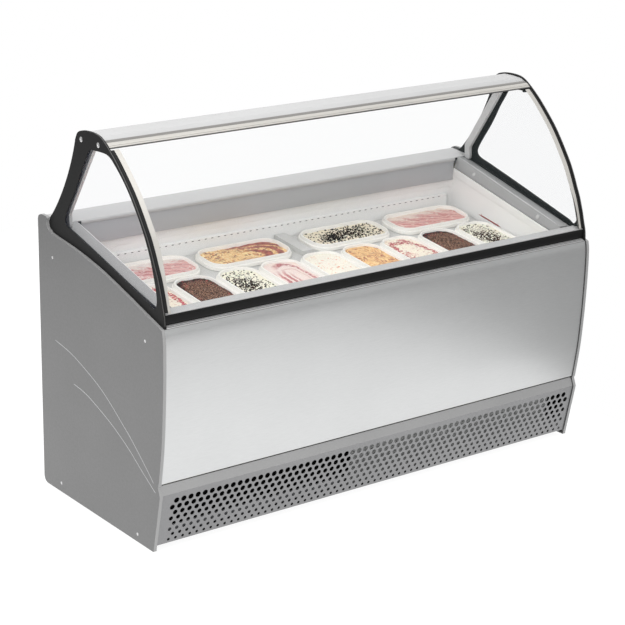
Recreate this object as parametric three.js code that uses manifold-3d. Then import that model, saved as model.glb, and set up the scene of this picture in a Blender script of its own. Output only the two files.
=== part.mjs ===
// Curved-glass ice-cream display freezer: a low insulated cabinet with thirteen lift-out tubs in a sloping well, a
// lift-up curved front glass between two side frames, a narrow lamp canopy, and the refrigeration unit in its base.
// Millimetres, +Z up, customer side faces -Y, service side faces +Y, width along X.
// The pieces are laid out in a cabinet frame whose Y = 0 is the front foot of the end panels and whose Z = 0 is their
// lower edge; the outer group then moves that frame so that the origin is the centre of the footprint on the floor.

import * as THREE from "three";
import { mergeVertices } from "three/addons/utils/BufferGeometryUtils.js";
import Module from "manifold-3d";

const wasm = await Module();
wasm.setup();

// ---------------------------------------------------------------- driving dimensions
const WIDTH = 1680; // over the two end panels
const HALF = WIDTH / 2;
const PANEL_T = 10.5; // end panel depth over its flange
const SHEET = 2.6; // end panel skin with its stiffening laminate
const FRAME_OUT = 829; // outer face of each black side frame
const FRAME_T = 7; // plate along the curved front edge
const ARM_IN = 809; // inner face of the frame's thicker rear leg and lower arm
const FRAME_IN = FRAME_OUT - FRAME_T; // 822
const FLOOR_GAP = 6; // end panels stand this far off the floor
const Y_SHIFT = -297; // cabinet frame to footprint centre
const GAP = 0.5; // clearance between touching pieces

const LINER_IN = 752; // half width of the well
const LINER_OUT = 764;
const SLOPE = 0.2275; // rise of the well's side rims towards the rear
const RIM0 = 719.8; // rim height at Y = 0
const rim = (y) => RIM0 + SLOPE * y;

const TUB_PITCH = 163.4;
const TUB_W = 155;
const TUB_L = 326;
const TUB_R = 57;
const TUB_H = 118;
const SKIRT = 22; // depth of the rim's outer skirt
const TUB_TILT = 6.5; // degrees, down towards the customer
const TUB_Z = 704.5; // rim height at TUB_Y
const TUB_Y = 361; // between the two rows
const FRONT_END = 357; // far end of the front row
const REAR_L = 325;
const REAR_Y = 453; // centre line of the rear row

const TANK_Z0 = 310; // underside of the insulated tank

const ROCKER_Y = 636; // pivot of the power switch
const ROCKER_Z = 815;
const ROCKER_TILT = 7; // degrees to either side of level

// ---------------------------------------------------------------- helpers
const V2 = (y, z) => new THREE.Vector2(y, z);
const group = new THREE.Group();
group.position.set(0, Y_SHIFT, FLOOR_GAP);

const PAINT = {
  panel: { color: 0x8c8d8e, roughness: 0.42, metalness: 0.6 },
  steel: { color: 0xb9babb, roughness: 0.35, metalness: 0.9 },
  satin: { color: 0xc9cacb, roughness: 0.3, metalness: 0.85 },
  black: { color: 0x2e2e2f, roughness: 0.45, metalness: 0.1 },
  rubber: { color: 0x161616, roughness: 0.6, metalness: 0.0 },
  white: { color: 0xeeeeea, roughness: 0.4, metalness: 0.0 },
  grey: { color: 0xa7a9aa, roughness: 0.45, metalness: 0.3 },
  light: { color: 0xd8d9d9, roughness: 0.4, metalness: 0.2 },
  chrome: { color: 0xe6e3dc, roughness: 0.12, metalness: 1.0 },
  dark: { color: 0x303235, roughness: 0.55, metalness: 0.2 },
};

function add(name, geometry, paint, extra = {}) {
  const mesh = new THREE.Mesh(
    geometry,
    new THREE.MeshStandardMaterial({ ...PAINT[paint], ...extra }),
  );
  mesh.name = name;
  group.add(mesh);
  return mesh;
}

// Closed geometry to a solid that can be joined and cut.
function solid(geometry) {
  const g = geometry.clone();
  g.deleteAttribute("normal");
  g.deleteAttribute("uv");
  const m = mergeVertices(g, 1e-4);
  return new wasm.Manifold(
    new wasm.Mesh({
      numProp: 3,
      vertProperties: new Float32Array(m.attributes.position.array),
      triVerts: new Uint32Array(m.index.array),
    }),
  );
}

// Solid back to a BufferGeometry.
function geo(s) {
  const m = s.getMesh();
  const n = m.numProp;
  const v = new Float32Array(m.numVert * 3);
  for (let i = 0; i < m.numVert; i++)
    v.set(m.vertProperties.subarray(i * n, i * n + 3), i * 3);
  const g = new THREE.BufferGeometry()
    .setAttribute("position", new THREE.BufferAttribute(v, 3))
    .setIndex(new THREE.BufferAttribute(new Uint32Array(m.triVerts), 1));
  g.computeVertexNormals();
  return g;
}

const join = (...list) => geo(list.map(asSolid).reduce((a, b) => a.add(b)));
const asSolid = (g) => (g.isBufferGeometry ? solid(g) : g);
const cut = (a, ...list) =>
  geo(list.map(asSolid).reduce((s, b) => s.subtract(b), asSolid(a)));

function shapeOf(points) {
  const pts = points.map((p) => V2(p[0], p[1]));
  if (THREE.ShapeUtils.isClockWise(pts)) pts.reverse();
  return new THREE.Shape(pts);
}

// (y, z) outline extruded along X from x0 to x1, with an optional hole and edge bevel.
function prismX(points, x0, x1, { hole = null, bevel = 0 } = {}) {
  const shape = shapeOf(points);
  if (hole) {
    const h = hole.map((p) => V2(p[0], p[1]));
    if (!THREE.ShapeUtils.isClockWise(h)) h.reverse();
    shape.holes.push(new THREE.Path(h));
  }
  const g = new THREE.ExtrudeGeometry(shape, {
    depth: x1 - x0 - 2 * bevel,
    bevelEnabled: bevel > 0,
    bevelThickness: bevel,
    bevelSize: bevel,
    bevelOffset: -bevel,
    bevelSegments: 1,
    curveSegments: 4,
  });
  g.translate(0, 0, bevel);
  g.applyMatrix4(
    new THREE.Matrix4().set(0, 0, 1, x0, 1, 0, 0, 0, 0, 1, 0, 0, 0, 0, 0, 1),
  );
  return g;
}

// (x, z) outline extruded along Y, sheared upwards by slope.
function prismY(points, y0, y1, slope = 0) {
  const g = new THREE.ExtrudeGeometry(shapeOf(points), {
    depth: y1 - y0,
    bevelEnabled: false,
  });
  // shape x -> X, shape y -> Z, depth -> -Y, so the depth is counted from y1 down to y0
  g.applyMatrix4(
    new THREE.Matrix4().set(1, 0, 0, 0, 0, 0, -1, y1, 0, 1, 0, 0, 0, 0, 0, 1),
  );
  if (slope) {
    const p = g.attributes.position;
    for (let i = 0; i < p.count; i++)
      p.setZ(i, p.getZ(i) + slope * p.getY(i));
  }
  return g;
}

function box(x0, x1, y0, y1, z0, z1) {
  return new THREE.BoxGeometry(x1 - x0, y1 - y0, z1 - z0).translate(
    (x0 + x1) / 2,
    (y0 + y1) / 2,
    (z0 + z1) / 2,
  );
}

function cyl(r, len, axis, x, y, z, n = 20) {
  const g = new THREE.CylinderGeometry(r, r, len, n); // along Y
  if (axis === "x") g.rotateZ(Math.PI / 2);
  if (axis === "z") g.rotateX(Math.PI / 2);
  return g.translate(x, y, z);
}

function spline(points, n, closed = false) {
  const c = new THREE.CatmullRomCurve3(
    points.map((p) => new THREE.Vector3(p[0], p[1], 0)),
    closed,
    "centripetal",
  );
  return c.getPoints(n).map((p) => [p.x, p.y]);
}

// Rounded rectangle in (x, y).
function roundRect(w, d, r, n = 4) {
  const out = [];
  for (const [sx, sy, a0] of [
    [1, 1, 0],
    [-1, 1, 90],
    [-1, -1, 180],
    [1, -1, 270],
  ])
    for (let i = 0; i <= n; i++) {
      const a = ((a0 + (90 * i) / n) * Math.PI) / 180;
      out.push([
        sx * (w / 2 - r) + r * Math.cos(a),
        sy * (d / 2 - r) + r * Math.sin(a),
      ]);
    }
  return out;
}

// Closed solid through a stack of rings with equal point counts; each ring lists [x, y, z].
function loft(rings) {
  const n = rings[0].length;
  const pos = rings.flat(2);
  const idx = [];
  for (let k = 0; k + 1 < rings.length; k++)
    for (let i = 0; i < n; i++) {
      const j = (i + 1) % n;
      const a = k * n + i,
        b = k * n + j,
        c = (k + 1) * n + j,
        d = (k + 1) * n + i;
      idx.push(a, b, c, a, c, d);
    }
  const last = (rings.length - 1) * n;
  for (let i = 1; i + 1 < n; i++) {
    idx.push(0, i + 1, i);
    idx.push(last, last + i, last + i + 1);
  }
  const g = new THREE.BufferGeometry();
  g.setAttribute("position", new THREE.Float32BufferAttribute(pos, 3));
  g.setIndex(idx);
  g.computeVertexNormals();
  return g;
}

// Insets a closed outline towards its inside by d.
function inset(points, d) {
  const pts = points.map((p) => V2(p[0], p[1]));
  if (THREE.ShapeUtils.isClockWise(pts)) pts.reverse();
  return pts.map((p, i) => {
    const a = pts[(i + pts.length - 1) % pts.length];
    const b = pts[(i + 1) % pts.length];
    const t1 = p.clone().sub(a).normalize();
    const t2 = b.clone().sub(p).normalize();
    const n1 = V2(-t1.y, t1.x);
    const n2 = V2(-t2.y, t2.x);
    const m = n1.clone().add(n2);
    const k = d / Math.max(0.5, m.dot(n1) / m.length()) / m.length();
    return [p.x + m.x * k, p.y + m.y * k];
  });
}
// ---------------------------------------------------------------- end panels
const frontCurve = [
  [-28, 222],
  [-37, 280],
  [-45, 342],
  [-51, 420],
  [-55, 500],
  [-57, 592],
  [-55, 681],
  [-50, 706],
];
const frontPts = spline(frontCurve, 12);
const panelOutline = [
  [0, 3],
  [2, 0],
  [633, 0],
  [645, 6],
  [651, 18],
  [651, 873],
  [647, 885],
  [631, 892],
  [606, 892],
  [591, 888],
  [601, 873],
  [595, 856],
  [577, 847],
  [541, 840],
  [428, 827],
  [284, 800],
  [146, 763],
  [12, 724],
  ...frontPts.slice().reverse(),
  [-24, 216],
  [-35, 188],
];
// Each end panel is a pressed sheet: a flat outer face with a flange turned inwards all round, open on its inner side.
for (const [name, s] of [
  ["left_end_panel", -1],
  ["right_end_panel", 1],
])
  add(
    name,
    cut(
      prismX(
        panelOutline,
        s < 0 ? -HALF : HALF - PANEL_T,
        s < 0 ? -HALF + PANEL_T : HALF,
        { bevel: 2 },
      ),
      prismX(
        inset(panelOutline, 3.2),
        s < 0 ? -HALF + SHEET : HALF - PANEL_T - 2,
        s < 0 ? -HALF + PANEL_T + 2 : HALF - SHEET,
      ),
    ),
    "panel",
  );
const BAY = HALF - PANEL_T - GAP; // half width between the end panels

// ---------------------------------------------------------------- side frames and side glass
const arc = spline(
  [
    [-47, 716],
    [-44, 742],
    [-36, 768],
    [-27, 799],
    [-18, 825],
    [-8, 851],
    [5, 877],
    [21.5, 912],
    [41.5, 949],
    [66, 985],
    [92, 1020.5],
    [121, 1056.5],
    [154, 1091],
    [191, 1126],
    [214, 1146],
    [236, 1163],
    [257, 1178],
    [280, 1192],
    [301, 1200],
    [322, 1202.5],
    [345, 1203],
    [370, 1201.5],
    [393, 1198],
    [412, 1192],
    [423, 1184],
    [434, 1165],
  ],
  38,
);
const frameOutline = [
  ...arc,
  [440, 1145],
  [447, 1125],
  [463, 1086],
  [483, 1045],
  [507, 1003],
  [536, 959],
  [571, 914],
  [594, 890],
  [612, 877],
  [617, 864],
  [611, 850],
  [595, 842],
  [517, 830],
  [451, 823],
  [306, 795],
  [167, 758],
  [32, 719.5],
  [-12, 708],
  [-47, 707.5],
];
const frameHole = [
  [357, 1144],
  [378, 1113],
  [400, 1079],
  [418, 1045],
  [443, 1002],
  [475, 955],
  [498, 918],
  [504, 902],
  [499, 889],
  [485, 881],
  [448, 872],
  [304, 835],
  [165, 798],
  [84, 776],
  [30, 761],
  [14, 753],
  [2, 758],
  [-7, 775],
  [-5, 800],
  [7, 843],
  [21.5, 886],
  [39.5, 925],
  [59.5, 961],
  [83.5, 997],
  [109.5, 1031],
  [135.5, 1062],
  [159.5, 1087],
  [186.5, 1111],
  [213.5, 1132],
  [234.5, 1146],
  [254.5, 1153],
  [282, 1154],
  [328, 1151],
  [346, 1149],
];
// A plain plate, so that the glass edge profile closes against its inner side; only the lower arm is thicker, and that
// part stays below the edge of the opening.
const armZone = [
  [16, 690],
  [16, 742],
  [84, 760],
  [165, 782],
  [304, 819],
  [448, 856],
  [528, 866],
  [528, 690],
];
for (const [side, s] of [
  ["left", -1],
  ["right", 1],
]) {
  const span = (a, b) => (s < 0 ? [-b, -a] : [a, b]);
  const plate = prismX(frameOutline, ...span(FRAME_IN, FRAME_OUT), {
    hole: frameHole,
    bevel: 1,
  });
  const arms = solid(
    prismX(inset(frameOutline, 1), ...span(ARM_IN, FRAME_IN + 2), {
      hole: inset(frameHole, -1),
    }),
  ).intersect(solid(prismX(armZone, ...span(ARM_IN - 5, FRAME_IN + 5))));
  add(side + "_side_frame", geo(solid(plate).add(arms)), "black");
  add(
    side + "_side_glass",
    prismX(inset(frameHole, 0.6), s * 825.5 - 2.5, s * 825.5 + 2.5),
    "light",
    { transparent: true, opacity: 0.3 },
  );
}

// ---------------------------------------------------------------- front skin, kick grille, bumper, rail
const skin = frontPts.map(([y, z]) => [y + 4, z]);
const skinTop = skin[skin.length - 1];
add(
  "front_panel",
  prismX(
    [
      ...skin,
      [-14, skinTop[1]],
      [-14, skinTop[1] - 3],
      [skinTop[0] + 4, skinTop[1] - 3],
      ...skin
        .slice(1, -1)
        .reverse()
        .map(([y, z]) => [y + 3, z]),
      [-21, 226],
      [-6, 226],
      [-6, 222],
    ],
    -BAY,
    BAY,
  ),
  "satin",
);
add(
  "kick_grille",
  prismX(
    [
      [-19, 216.5],
      [-31.5, 188.5],
      [2.5, 18],
      [12, 18],
      [12, 20],
      [4.2, 20],
      [-29.2, 188.5],
      [-18, 214.2],
      [-6, 214.2],
      [-6, 216.5],
    ],
    -BAY,
    BAY,
  ),
  "panel",
);
// Light baffle sheet close behind the right two thirds of the grille.
add(
  "grille_baffle",
  prismX(
    [
      [-13.5, 182],
      [15.9, 32],
      [21.5, 32],
      [21.5, 34],
      [17.5, 34],
      [-11.5, 182],
    ],
    -110,
    735,
  ),
  "light",
);
add(
  "front_trim_lip",
  prismX(
    [
      [-48, 706.6],
      [-48, 709.5],
      [-43, 709.5],
      [-43, 712],
      [-39, 712],
      [-39, 714.2],
      [-26, 714.2],
      [-26, 706.6],
    ],
    -FRAME_IN + GAP,
    FRAME_IN - GAP,
  ),
  "chrome",
);
add(
  "bumper_strip",
  prismX(
    [
      [-36, 714.8],
      [-39.5, 718],
      [-41, 724],
      [-41, 738],
      [-39.5, 743],
      [-37, 744.6],
      [-24, 744.6],
      [-24, 714.8],
    ],
    -FRAME_IN + GAP,
    FRAME_IN - GAP,
  ),
  "rubber",
);
add(
  "front_rail",
  prismX(
    [
      [-38, 745.2],
      [-38, 748],
      [8, 748],
      [14, 744],
      [14, 719.5],
      [11, 719.5],
      [11, 742],
      [-23, 742],
      [-23, 745.2],
    ],
    -FRAME_IN + GAP,
    FRAME_IN - GAP,
  ),
  "light",
);

// ---------------------------------------------------------------- lift-up front glass assembly
const GLASS_X = 793.7; // half width of the curved pane between its two edge profiles
const arcFor = (d, z0, y1) => {
  // the front arc, set back by d, from height z0 up to depth y1
  const fine = spline(
    [
      [-42, 749],
      [-36, 768],
      [-27, 799],
      [-18, 825],
      [-8, 851],
      [5, 877],
      [21.5, 912],
      [41.5, 949],
      [66, 985],
      [92, 1020.5],
      [121, 1056.5],
      [154, 1091],
      [191, 1126],
      [214, 1146],
      [236, 1163],
      [257, 1178],
    ],
    24,
  );
  return fine
    .map((p, i) => {
      const a = fine[Math.max(0, i - 1)];
      const b = fine[Math.min(fine.length - 1, i + 1)];
      const t = V2(b[0] - a[0], b[1] - a[1]).normalize();
      return [p[0] + t.y * d, p[1] - t.x * d];
    })
    .filter((p) => p[1] >= z0 - 0.01 && p[0] <= y1);
};
const band = (d0, d1, y1) => {
  const a = arcFor(d0, 749, y1);
  const b = arcFor(d1, 700, y1);
  b[0] = [b[0][0], 749];
  return [...a, ...b.reverse()];
};
add("front_glass", prismX(band(1.5, 7.5, 246), -GLASS_X, GLASS_X), "light", {
  transparent: true,
  opacity: 0.3,
});
for (const [name, s] of [
  ["left_glass_trim", -1],
  ["right_glass_trim", 1],
])
  add(
    name,
    prismX(
      band(0.3, 11, 246),
      s < 0 ? -FRAME_IN + 0.8 : GLASS_X + 0.3,
      s < 0 ? -GLASS_X - 0.3 : FRAME_IN - 0.8,
    ),
    "chrome",
  );
// The pane lifts on an axis along X through Y = 280, Z = 1190, the rear upper edge of this profile.
add(
  "glass_hinge_profile",
  prismX(
    [
      [248.2, 1171.2],
      [257, 1177.6],
      [268, 1184.6],
      [279, 1189.8],
      [280, 1186],
      [279, 1177],
      [270, 1169],
      [260, 1162],
      [255.5, 1162],
    ],
    -FRAME_IN + 0.8,
    FRAME_IN - 0.8,
  ),
  "chrome",
);

// ---------------------------------------------------------------- canopy, lamp, rear posts
add(
  "canopy_nose",
  prismX(
    [
      [281.5, 1164],
      [281.5, 1190.5],
      [296, 1197.5],
      [300.5, 1198],
      [300.5, 1195],
      [297, 1194.5],
      [284.5, 1188.6],
      [284.5, 1164],
    ],
    -FRAME_IN + GAP,
    FRAME_IN - GAP,
  ),
  "steel",
);
add(
  "top_canopy",
  prismX(
    [
      [301, 1195],
      [301, 1198.2],
      [340, 1200.5],
      [378, 1199.5],
      [387, 1195],
      [389, 1187],
      [389, 1158],
      [350, 1158],
      [350, 1161],
      [386, 1161],
      [386, 1186],
      [376.5, 1196.3],
      [340, 1197.3],
    ],
    -FRAME_IN + GAP,
    FRAME_IN - GAP,
  ),
  "light",
);
add(
  "led_lamp",
  prismX(
    [
      [286, 1167],
      [290, 1161.5],
      [342, 1161.5],
      [346, 1167],
      [346, 1180],
      [286, 1180],
    ],
    -FRAME_IN + 14,
    FRAME_IN - 14,
  ),
  "white",
);
const POST_Z = rim(512) + 33.6; // on the sill
const postLine = [
  [512, POST_Z],
  [514, 914],
  [354, 1157.5],
  [388, 1157.5],
  [540, 922],
  [538, POST_Z + 26 * (SLOPE + 0.015)],
];
for (const [name, s] of [
  ["left_rear_post", -1],
  ["right_rear_post", 1],
])
  add(
    name,
    prismX(
      postLine,
      s < 0 ? -ARM_IN + GAP : 797,
      s < 0 ? -797 : ARM_IN - GAP,
      { bevel: 1.5 },
    ),
    "grey",
  );

// ---------------------------------------------------------------- service ledge, riser, sloping side trims
add(
  "rear_worktop",
  cut(
    prismX(
      [
        [537, 875],
        [540, 879],
        [600, 884],
        [632, 887],
        [641, 884],
        [643.5, 878],
        [643.5, 864],
        [641, 864],
        [641, 877],
        [631, 883.5],
        [600, 881],
        [540, 876],
        [540, 868],
        [537, 868],
      ],
      -FRAME_IN + GAP,
      FRAME_IN - GAP,
    ),
    box(LINER_IN + 0.5, 900, 400, 541, 800, 900),
    box(-900, -LINER_IN - 0.5, 400, 541, 800, 900),
  ),
  "light",
);
add(
  "rear_riser",
  prismX(
    [
      [541, 800.5],
      [541, 875.4],
      [543.5, 875.4],
      [543.5, 803],
      [570, 803],
      [570, 800.5],
    ],
    -LINER_IN + 1,
    LINER_IN - 1,
  ),
  "grey",
);
// Bent sheet: a steep inner face above the liner's rim, then a near-level sill out to the side frame. The third
// number of each corner is how much more steeply that corner's line rises than the rim.
const trimSection = [
  [752.5, 0.8, 0],
  [769, 33.5, 0.022],
  [808.5, 28, 0.012],
  [808.5, 24.5, 0.012],
  [771, 29.5, 0.022],
  [757.5, 3, 0],
  [757.5, 0.8, 0],
];
for (const [side, s] of [
  ["left", -1],
  ["right", 1],
]) {
  const g = prismY(
    trimSection.map(([x, z]) => [s * x, RIM0 + z]),
    15,
    540.4,
    SLOPE,
  );
  const p = g.attributes.position;
  for (let i = 0; i < p.count; i++) {
    const c = trimSection.find((q) => Math.abs(Math.abs(p.getX(i)) - q[0]) < 0.01 &&
      Math.abs(p.getZ(i) - RIM0 - SLOPE * p.getY(i) - q[1]) < 0.1);
    p.setZ(i, p.getZ(i) + (c ? c[2] : 0) * (p.getY(i) - 300));
  }
  add(side + "_inner_trim", g, "grey");
}

// ---------------------------------------------------------------- insulated tank, liner, duct
const tankTop = (y) => rim(y) - 8; // foam stops under the rim flange
const LINER_Z0 = 380;
add(
  "insulated_tank",
  cut(
    prismX(
      [
        [-18, TANK_Z0],
        [-33, 420],
        [-40, 500],
        [-42, 590],
        [-40, 702],
        [10, 702],
        [10, tankTop(10)],
        [560, tankTop(560)],
        [612, tankTop(560)],
        [612, TANK_Z0],
      ],
      -807,
      807,
    ),
    prismX(
      [
        [10.5, LINER_Z0 - 0.5],
        [572, LINER_Z0 - 0.5],
        [572, 900],
        [10.5, 900],
      ],
      -LINER_OUT - 0.3,
      LINER_OUT + 0.3,
    ),
  ),
  "light",
);
add(
  "tank_liner",
  cut(
    prismX(
      [
        [15, LINER_Z0],
        [571, LINER_Z0],
        [571, 799.8],
        [540, 799.8],
        [540, rim(540)],
        [15, rim(15)],
      ],
      -LINER_OUT,
      LINER_OUT,
    ),
    prismX(
      [
        [18, LINER_Z0 + 3],
        [558, LINER_Z0 + 3],
        [558, 900],
        [18, 900],
      ],
      -LINER_IN,
      LINER_IN,
    ),
  ),
  "white",
);
add(
  "air_duct",
  prismX(
    [
      [545, 590],
      [545, 749],
      [557.5, 753],
      [557.5, 749],
      [548, 746],
      [548, 590],
    ],
    -728,
    728,
  ),
  "white",
);

// ---------------------------------------------------------------- tubs and their support
const tilt = (TUB_TILT * Math.PI) / 180;
const rimZ = (y) => TUB_Z + (y - TUB_Y) * Math.tan(tilt);
function tub(name, cx, cy, lx, ly) {
  // Rim with an outer skirt, a step under it, and a body that tapers to a rounded floor; filled level with the rim.
  const ring = (w, d, r, z) =>
    roundRect(w, d, r, 4).map(([x, y]) => [x, y, z]);
  const g = loft([
    ring(lx - 44, ly - 44, TUB_R - 22, -TUB_H),
    ring(lx - 28, ly - 28, TUB_R - 14, -TUB_H + 12),
    ring(lx - 14, ly - 14, TUB_R - 7, -SKIRT - 1),
    ring(lx, ly, TUB_R, -SKIRT),
    ring(lx, ly, TUB_R, 0),
    ring(lx - 10, ly - 10, TUB_R - 5, 0),
    ring(lx - 16, ly - 16, TUB_R - 8, -9),
  ]);
  g.rotateX(tilt);
  g.translate(cx, cy, rimZ(cy));
  add(name, g, "white");
}
const frontY = FRONT_END - (TUB_L / 2) * Math.cos(tilt);
for (let i = 0; i < 9; i++)
  tub("tub_front_" + (i + 1), (i - 4) * TUB_PITCH, frontY, TUB_W, TUB_L);
const DIVIDER = 83; // clear distance between the two middle rear tubs
const REAR_GAP = 30;
const rearX = [
  -(DIVIDER / 2 + REAR_L * 1.5 + REAR_GAP),
  -(DIVIDER / 2 + REAR_L / 2),
  DIVIDER / 2 + REAR_L / 2,
  DIVIDER / 2 + REAR_L * 1.5 + REAR_GAP,
];
for (let i = 0; i < 4; i++)
  tub("tub_rear_" + (i + 1), rearX[i], REAR_Y, REAR_L, TUB_W);

// Frame that the tubs hang in by their skirts: a sheet with a close hole round each tub, a raised divider bar in the
// rear row, and an upright at each end.
add(
  "tub_support_grid",
  (() => {
    const sheet = (y0, y1, up, dn, x0, x1) =>
      prismX(
        [
          [y0, rimZ(y0) - dn],
          [y1, rimZ(y1) - dn],
          [y1, rimZ(y1) - up],
          [y0, rimZ(y0) - up],
        ],
        x0,
        x1,
      );
    const hole = (cx, cy, lx, ly) => {
      const g = loft(
        [-60, 20].map((z) =>
          // wider towards the back, where a tub lifted straight up leans
          roundRect(lx - 8, ly - 7, TUB_R - 4, 4).map(([x, y]) => [x, y + 2.4, z]),
        ),
      );
      g.rotateX(tilt);
      g.translate(cx, cy, rimZ(cy));
      return g;
    };
    const holes = [];
    for (let i = 0; i < 9; i++)
      holes.push(hole((i - 4) * TUB_PITCH, frontY, TUB_W, TUB_L));
    for (const x of rearX) holes.push(hole(x, REAR_Y, REAR_L, TUB_W));
    return join(
      cut(sheet(24, 542, SKIRT + 1, SKIRT + 3.5, -742, 742), ...holes),
      sheet(384, 541, 6, SKIRT + 2, -20, 20),
      sheet(60, 541, SKIRT + 2, TUB_H, -742, -739),
      sheet(60, 541, SKIRT + 2, TUB_H, 739, 742),
    );
  })(),
  "white",
);

// ---------------------------------------------------------------- cold side: coil and circulation fan under the tubs
add(
  "evaporator_coil",
  (() => {
    // base plate with upright fins across the air flow
    const fins = [box(-700, 420, 250, 500, 383.5, 389)];
    for (let i = 0; i < 23; i++)
      fins.push(box(-700 + i * 50.75, -696.5 + i * 50.75, 250, 500, 385, 490));
    return join(...fins);
  })(),
  "steel",
);
function fanBlade(r, hub, depth, blades) {
  // hub along Y with flat twisted blades
  let s = solid(new THREE.CylinderGeometry(hub, hub, depth, 16));
  for (let i = 0; i < blades; i++) {
    const b = new THREE.BoxGeometry(r - hub + 4, 2.2, r * 0.62);
    b.rotateX((28 * Math.PI) / 180);
    b.translate((r + hub) / 2 - 2, 0, 0);
    b.rotateY((i * 2 * Math.PI) / blades);
    s = s.add(solid(b));
  }
  return geo(s);
}
add(
  "evaporator_fan_frame",
  cut(box(480, 700, 300, 330, 383.5, 530), cyl(62, 60, "y", 590, 315, 460, 24)),
  "dark",
);
add(
  "evaporator_fan_blade",
  fanBlade(54, 20, 22, 5).translate(590, 315, 460),
  "dark",
);

// ---------------------------------------------------------------- base frame and feet
const base = (() => {
  const parts = [
    box(-818, 818, 22, 24.5, 34, 64), // front lip
    box(-818, 818, 22, 618, 34, 37), // floor sheet
    box(-818, 818, 615.5, 618, 34, 64), // rear lip
    box(-818, -815, 24, 616, 36, TANK_Z0 - 0.5), // left upright
    box(815, 818, 24, 616, 36, TANK_Z0 - 0.5), // right upright
    box(-818, -770, 24, 612, TANK_Z0 - 3.5, TANK_Z0 - 0.5), // flanges that carry the tank
    box(770, 818, 24, 612, TANK_Z0 - 3.5, TANK_Z0 - 0.5),
  ];
  let s = parts.map(solid).reduce((a, b) => a.add(b));
  for (const x of [-640, 640])
    s = s.subtract(solid(box(x - 110, x + 110, 160, 480, 20, 50)));
  return geo(s);
})();
add("base_frame", base, "steel");
for (const [name, x, y] of [
  ["foot_front_left", -780, 70],
  ["foot_front_right", 780, 70],
  ["foot_rear_left", -780, 575],
  ["foot_rear_right", 780, 575],
]) {
  const g = new THREE.LatheGeometry(
    [
      V2(0, -6),
      V2(24, -6),
      V2(26, -4),
      V2(26, 2),
      V2(20, 7),
      V2(13, 9),
      V2(13, 18),
      V2(8, 18),
      V2(8, 33.4),
      V2(0, 33.4),
    ],
    20,
  );
  g.rotateX(Math.PI / 2);
  g.translate(x, y, 0);
  add(name, g, "dark");
}

// ---------------------------------------------------------------- warm side: compressor, condenser, fan, tray, controls
add(
  "compressor",
  (() => {
    const can = new THREE.LatheGeometry(
      [
        V2(0, 0),
        V2(70, 0),
        V2(84, 10),
        V2(88, 40),
        V2(88, 95),
        V2(82, 128),
        V2(58, 150),
        V2(20, 157),
        V2(0, 157),
      ],
      24,
    ).rotateX(Math.PI / 2);
    can.translate(-420, 330, 44);
    return join(can, box(-520, -320, 250, 410, 37.4, 48));
  })(),
  "dark",
);
add(
  "condenser_coil",
  (() => {
    const block = box(120, 520, 60, 110, 37.4, 206);
    const slots = [];
    for (let i = 0; i < 12; i++)
      slots.push(box(136 + i * 32, 136 + i * 32 + 16, 50, 120, 58, 196));
    return cut(block, ...slots);
  })(),
  "steel",
);
add(
  "condenser_fan_shroud",
  cut(
    box(200, 440, 112, 165, 37.4, 214),
    cyl(80, 80, "y", 320, 138, 130, 28),
  ),
  "dark",
);
add(
  "condenser_fan_blade",
  fanBlade(72, 22, 24, 5).translate(320, 138, 130),
  "dark",
);
add(
  "condensate_tray",
  cut(box(-260, -40, 420, 590, 37.4, 84), box(-257, -43, 423, 587, 40, 90)),
  "dark",
);

// ---------------------------------------------------------------- service side: back panel, grille, controls, inlet
add(
  "rear_panel",
  cut(
    join(
      box(-BAY, BAY, 637, 640, 232, 862),
      box(-BAY, BAY, 622, 638, 232, 234.5),
    ),
    box(560, 700, 600, 660, 790, 840), // controller window
    box(715, 745, 600, 660, 795, 835), // switch window
  ),
  "panel",
);
add(
  "rear_grille",
  (() => {
    const sheet = box(-BAY, BAY, 637, 640, 20, 228);
    const slots = [];
    for (let i = 0; i < 10; i++)
      for (let j = 0; j < 3; j++)
        slots.push(
          box(-700 + i * 120, -620 + i * 120, 630, 650, 60 + j * 44, 72 + j * 44),
        );
    slots.push(box(640, 672, 630, 650, 84, 110)); // inlet window
    return cut(sheet, ...slots);
  })(),
  "panel",
);
add(
  "controller",
  join(box(561, 699, 626, 641.5, 791, 839), box(560, 700, 640.5, 643, 788, 842)),
  "rubber",
);
add(
  "rocker_switch",
  (() => {
    // rocker with two raised ends on a pivot along X, shown with its upper end pressed in
    const a = (ROCKER_TILT * Math.PI) / 180;
    const turn = ([y, z]) => [
      ROCKER_Y + (y - ROCKER_Y) * Math.cos(a) - (z - ROCKER_Z) * Math.sin(a),
      ROCKER_Z + (y - ROCKER_Y) * Math.sin(a) + (z - ROCKER_Z) * Math.cos(a),
    ];
    return prismX(
      [
        [636, 799],
        [643.4, 799],
        [641.5, 815],
        [643.4, 831],
        [636, 831],
        [632, 815],
      ].map(turn),
      717,
      743,
    );
  })(),
  "rubber",
);
add(
  "power_inlet",
  cut(
    join(box(641, 671, 612, 640.5, 85, 109), box(634, 678, 640.4, 643, 78, 116)),
    box(645, 667, 618, 660, 89, 105),
  ),
  "rubber",
);

export default group;
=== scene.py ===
import math
import random

import bmesh
import bpy
import numpy as np
from mathutils import Matrix, Vector


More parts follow.
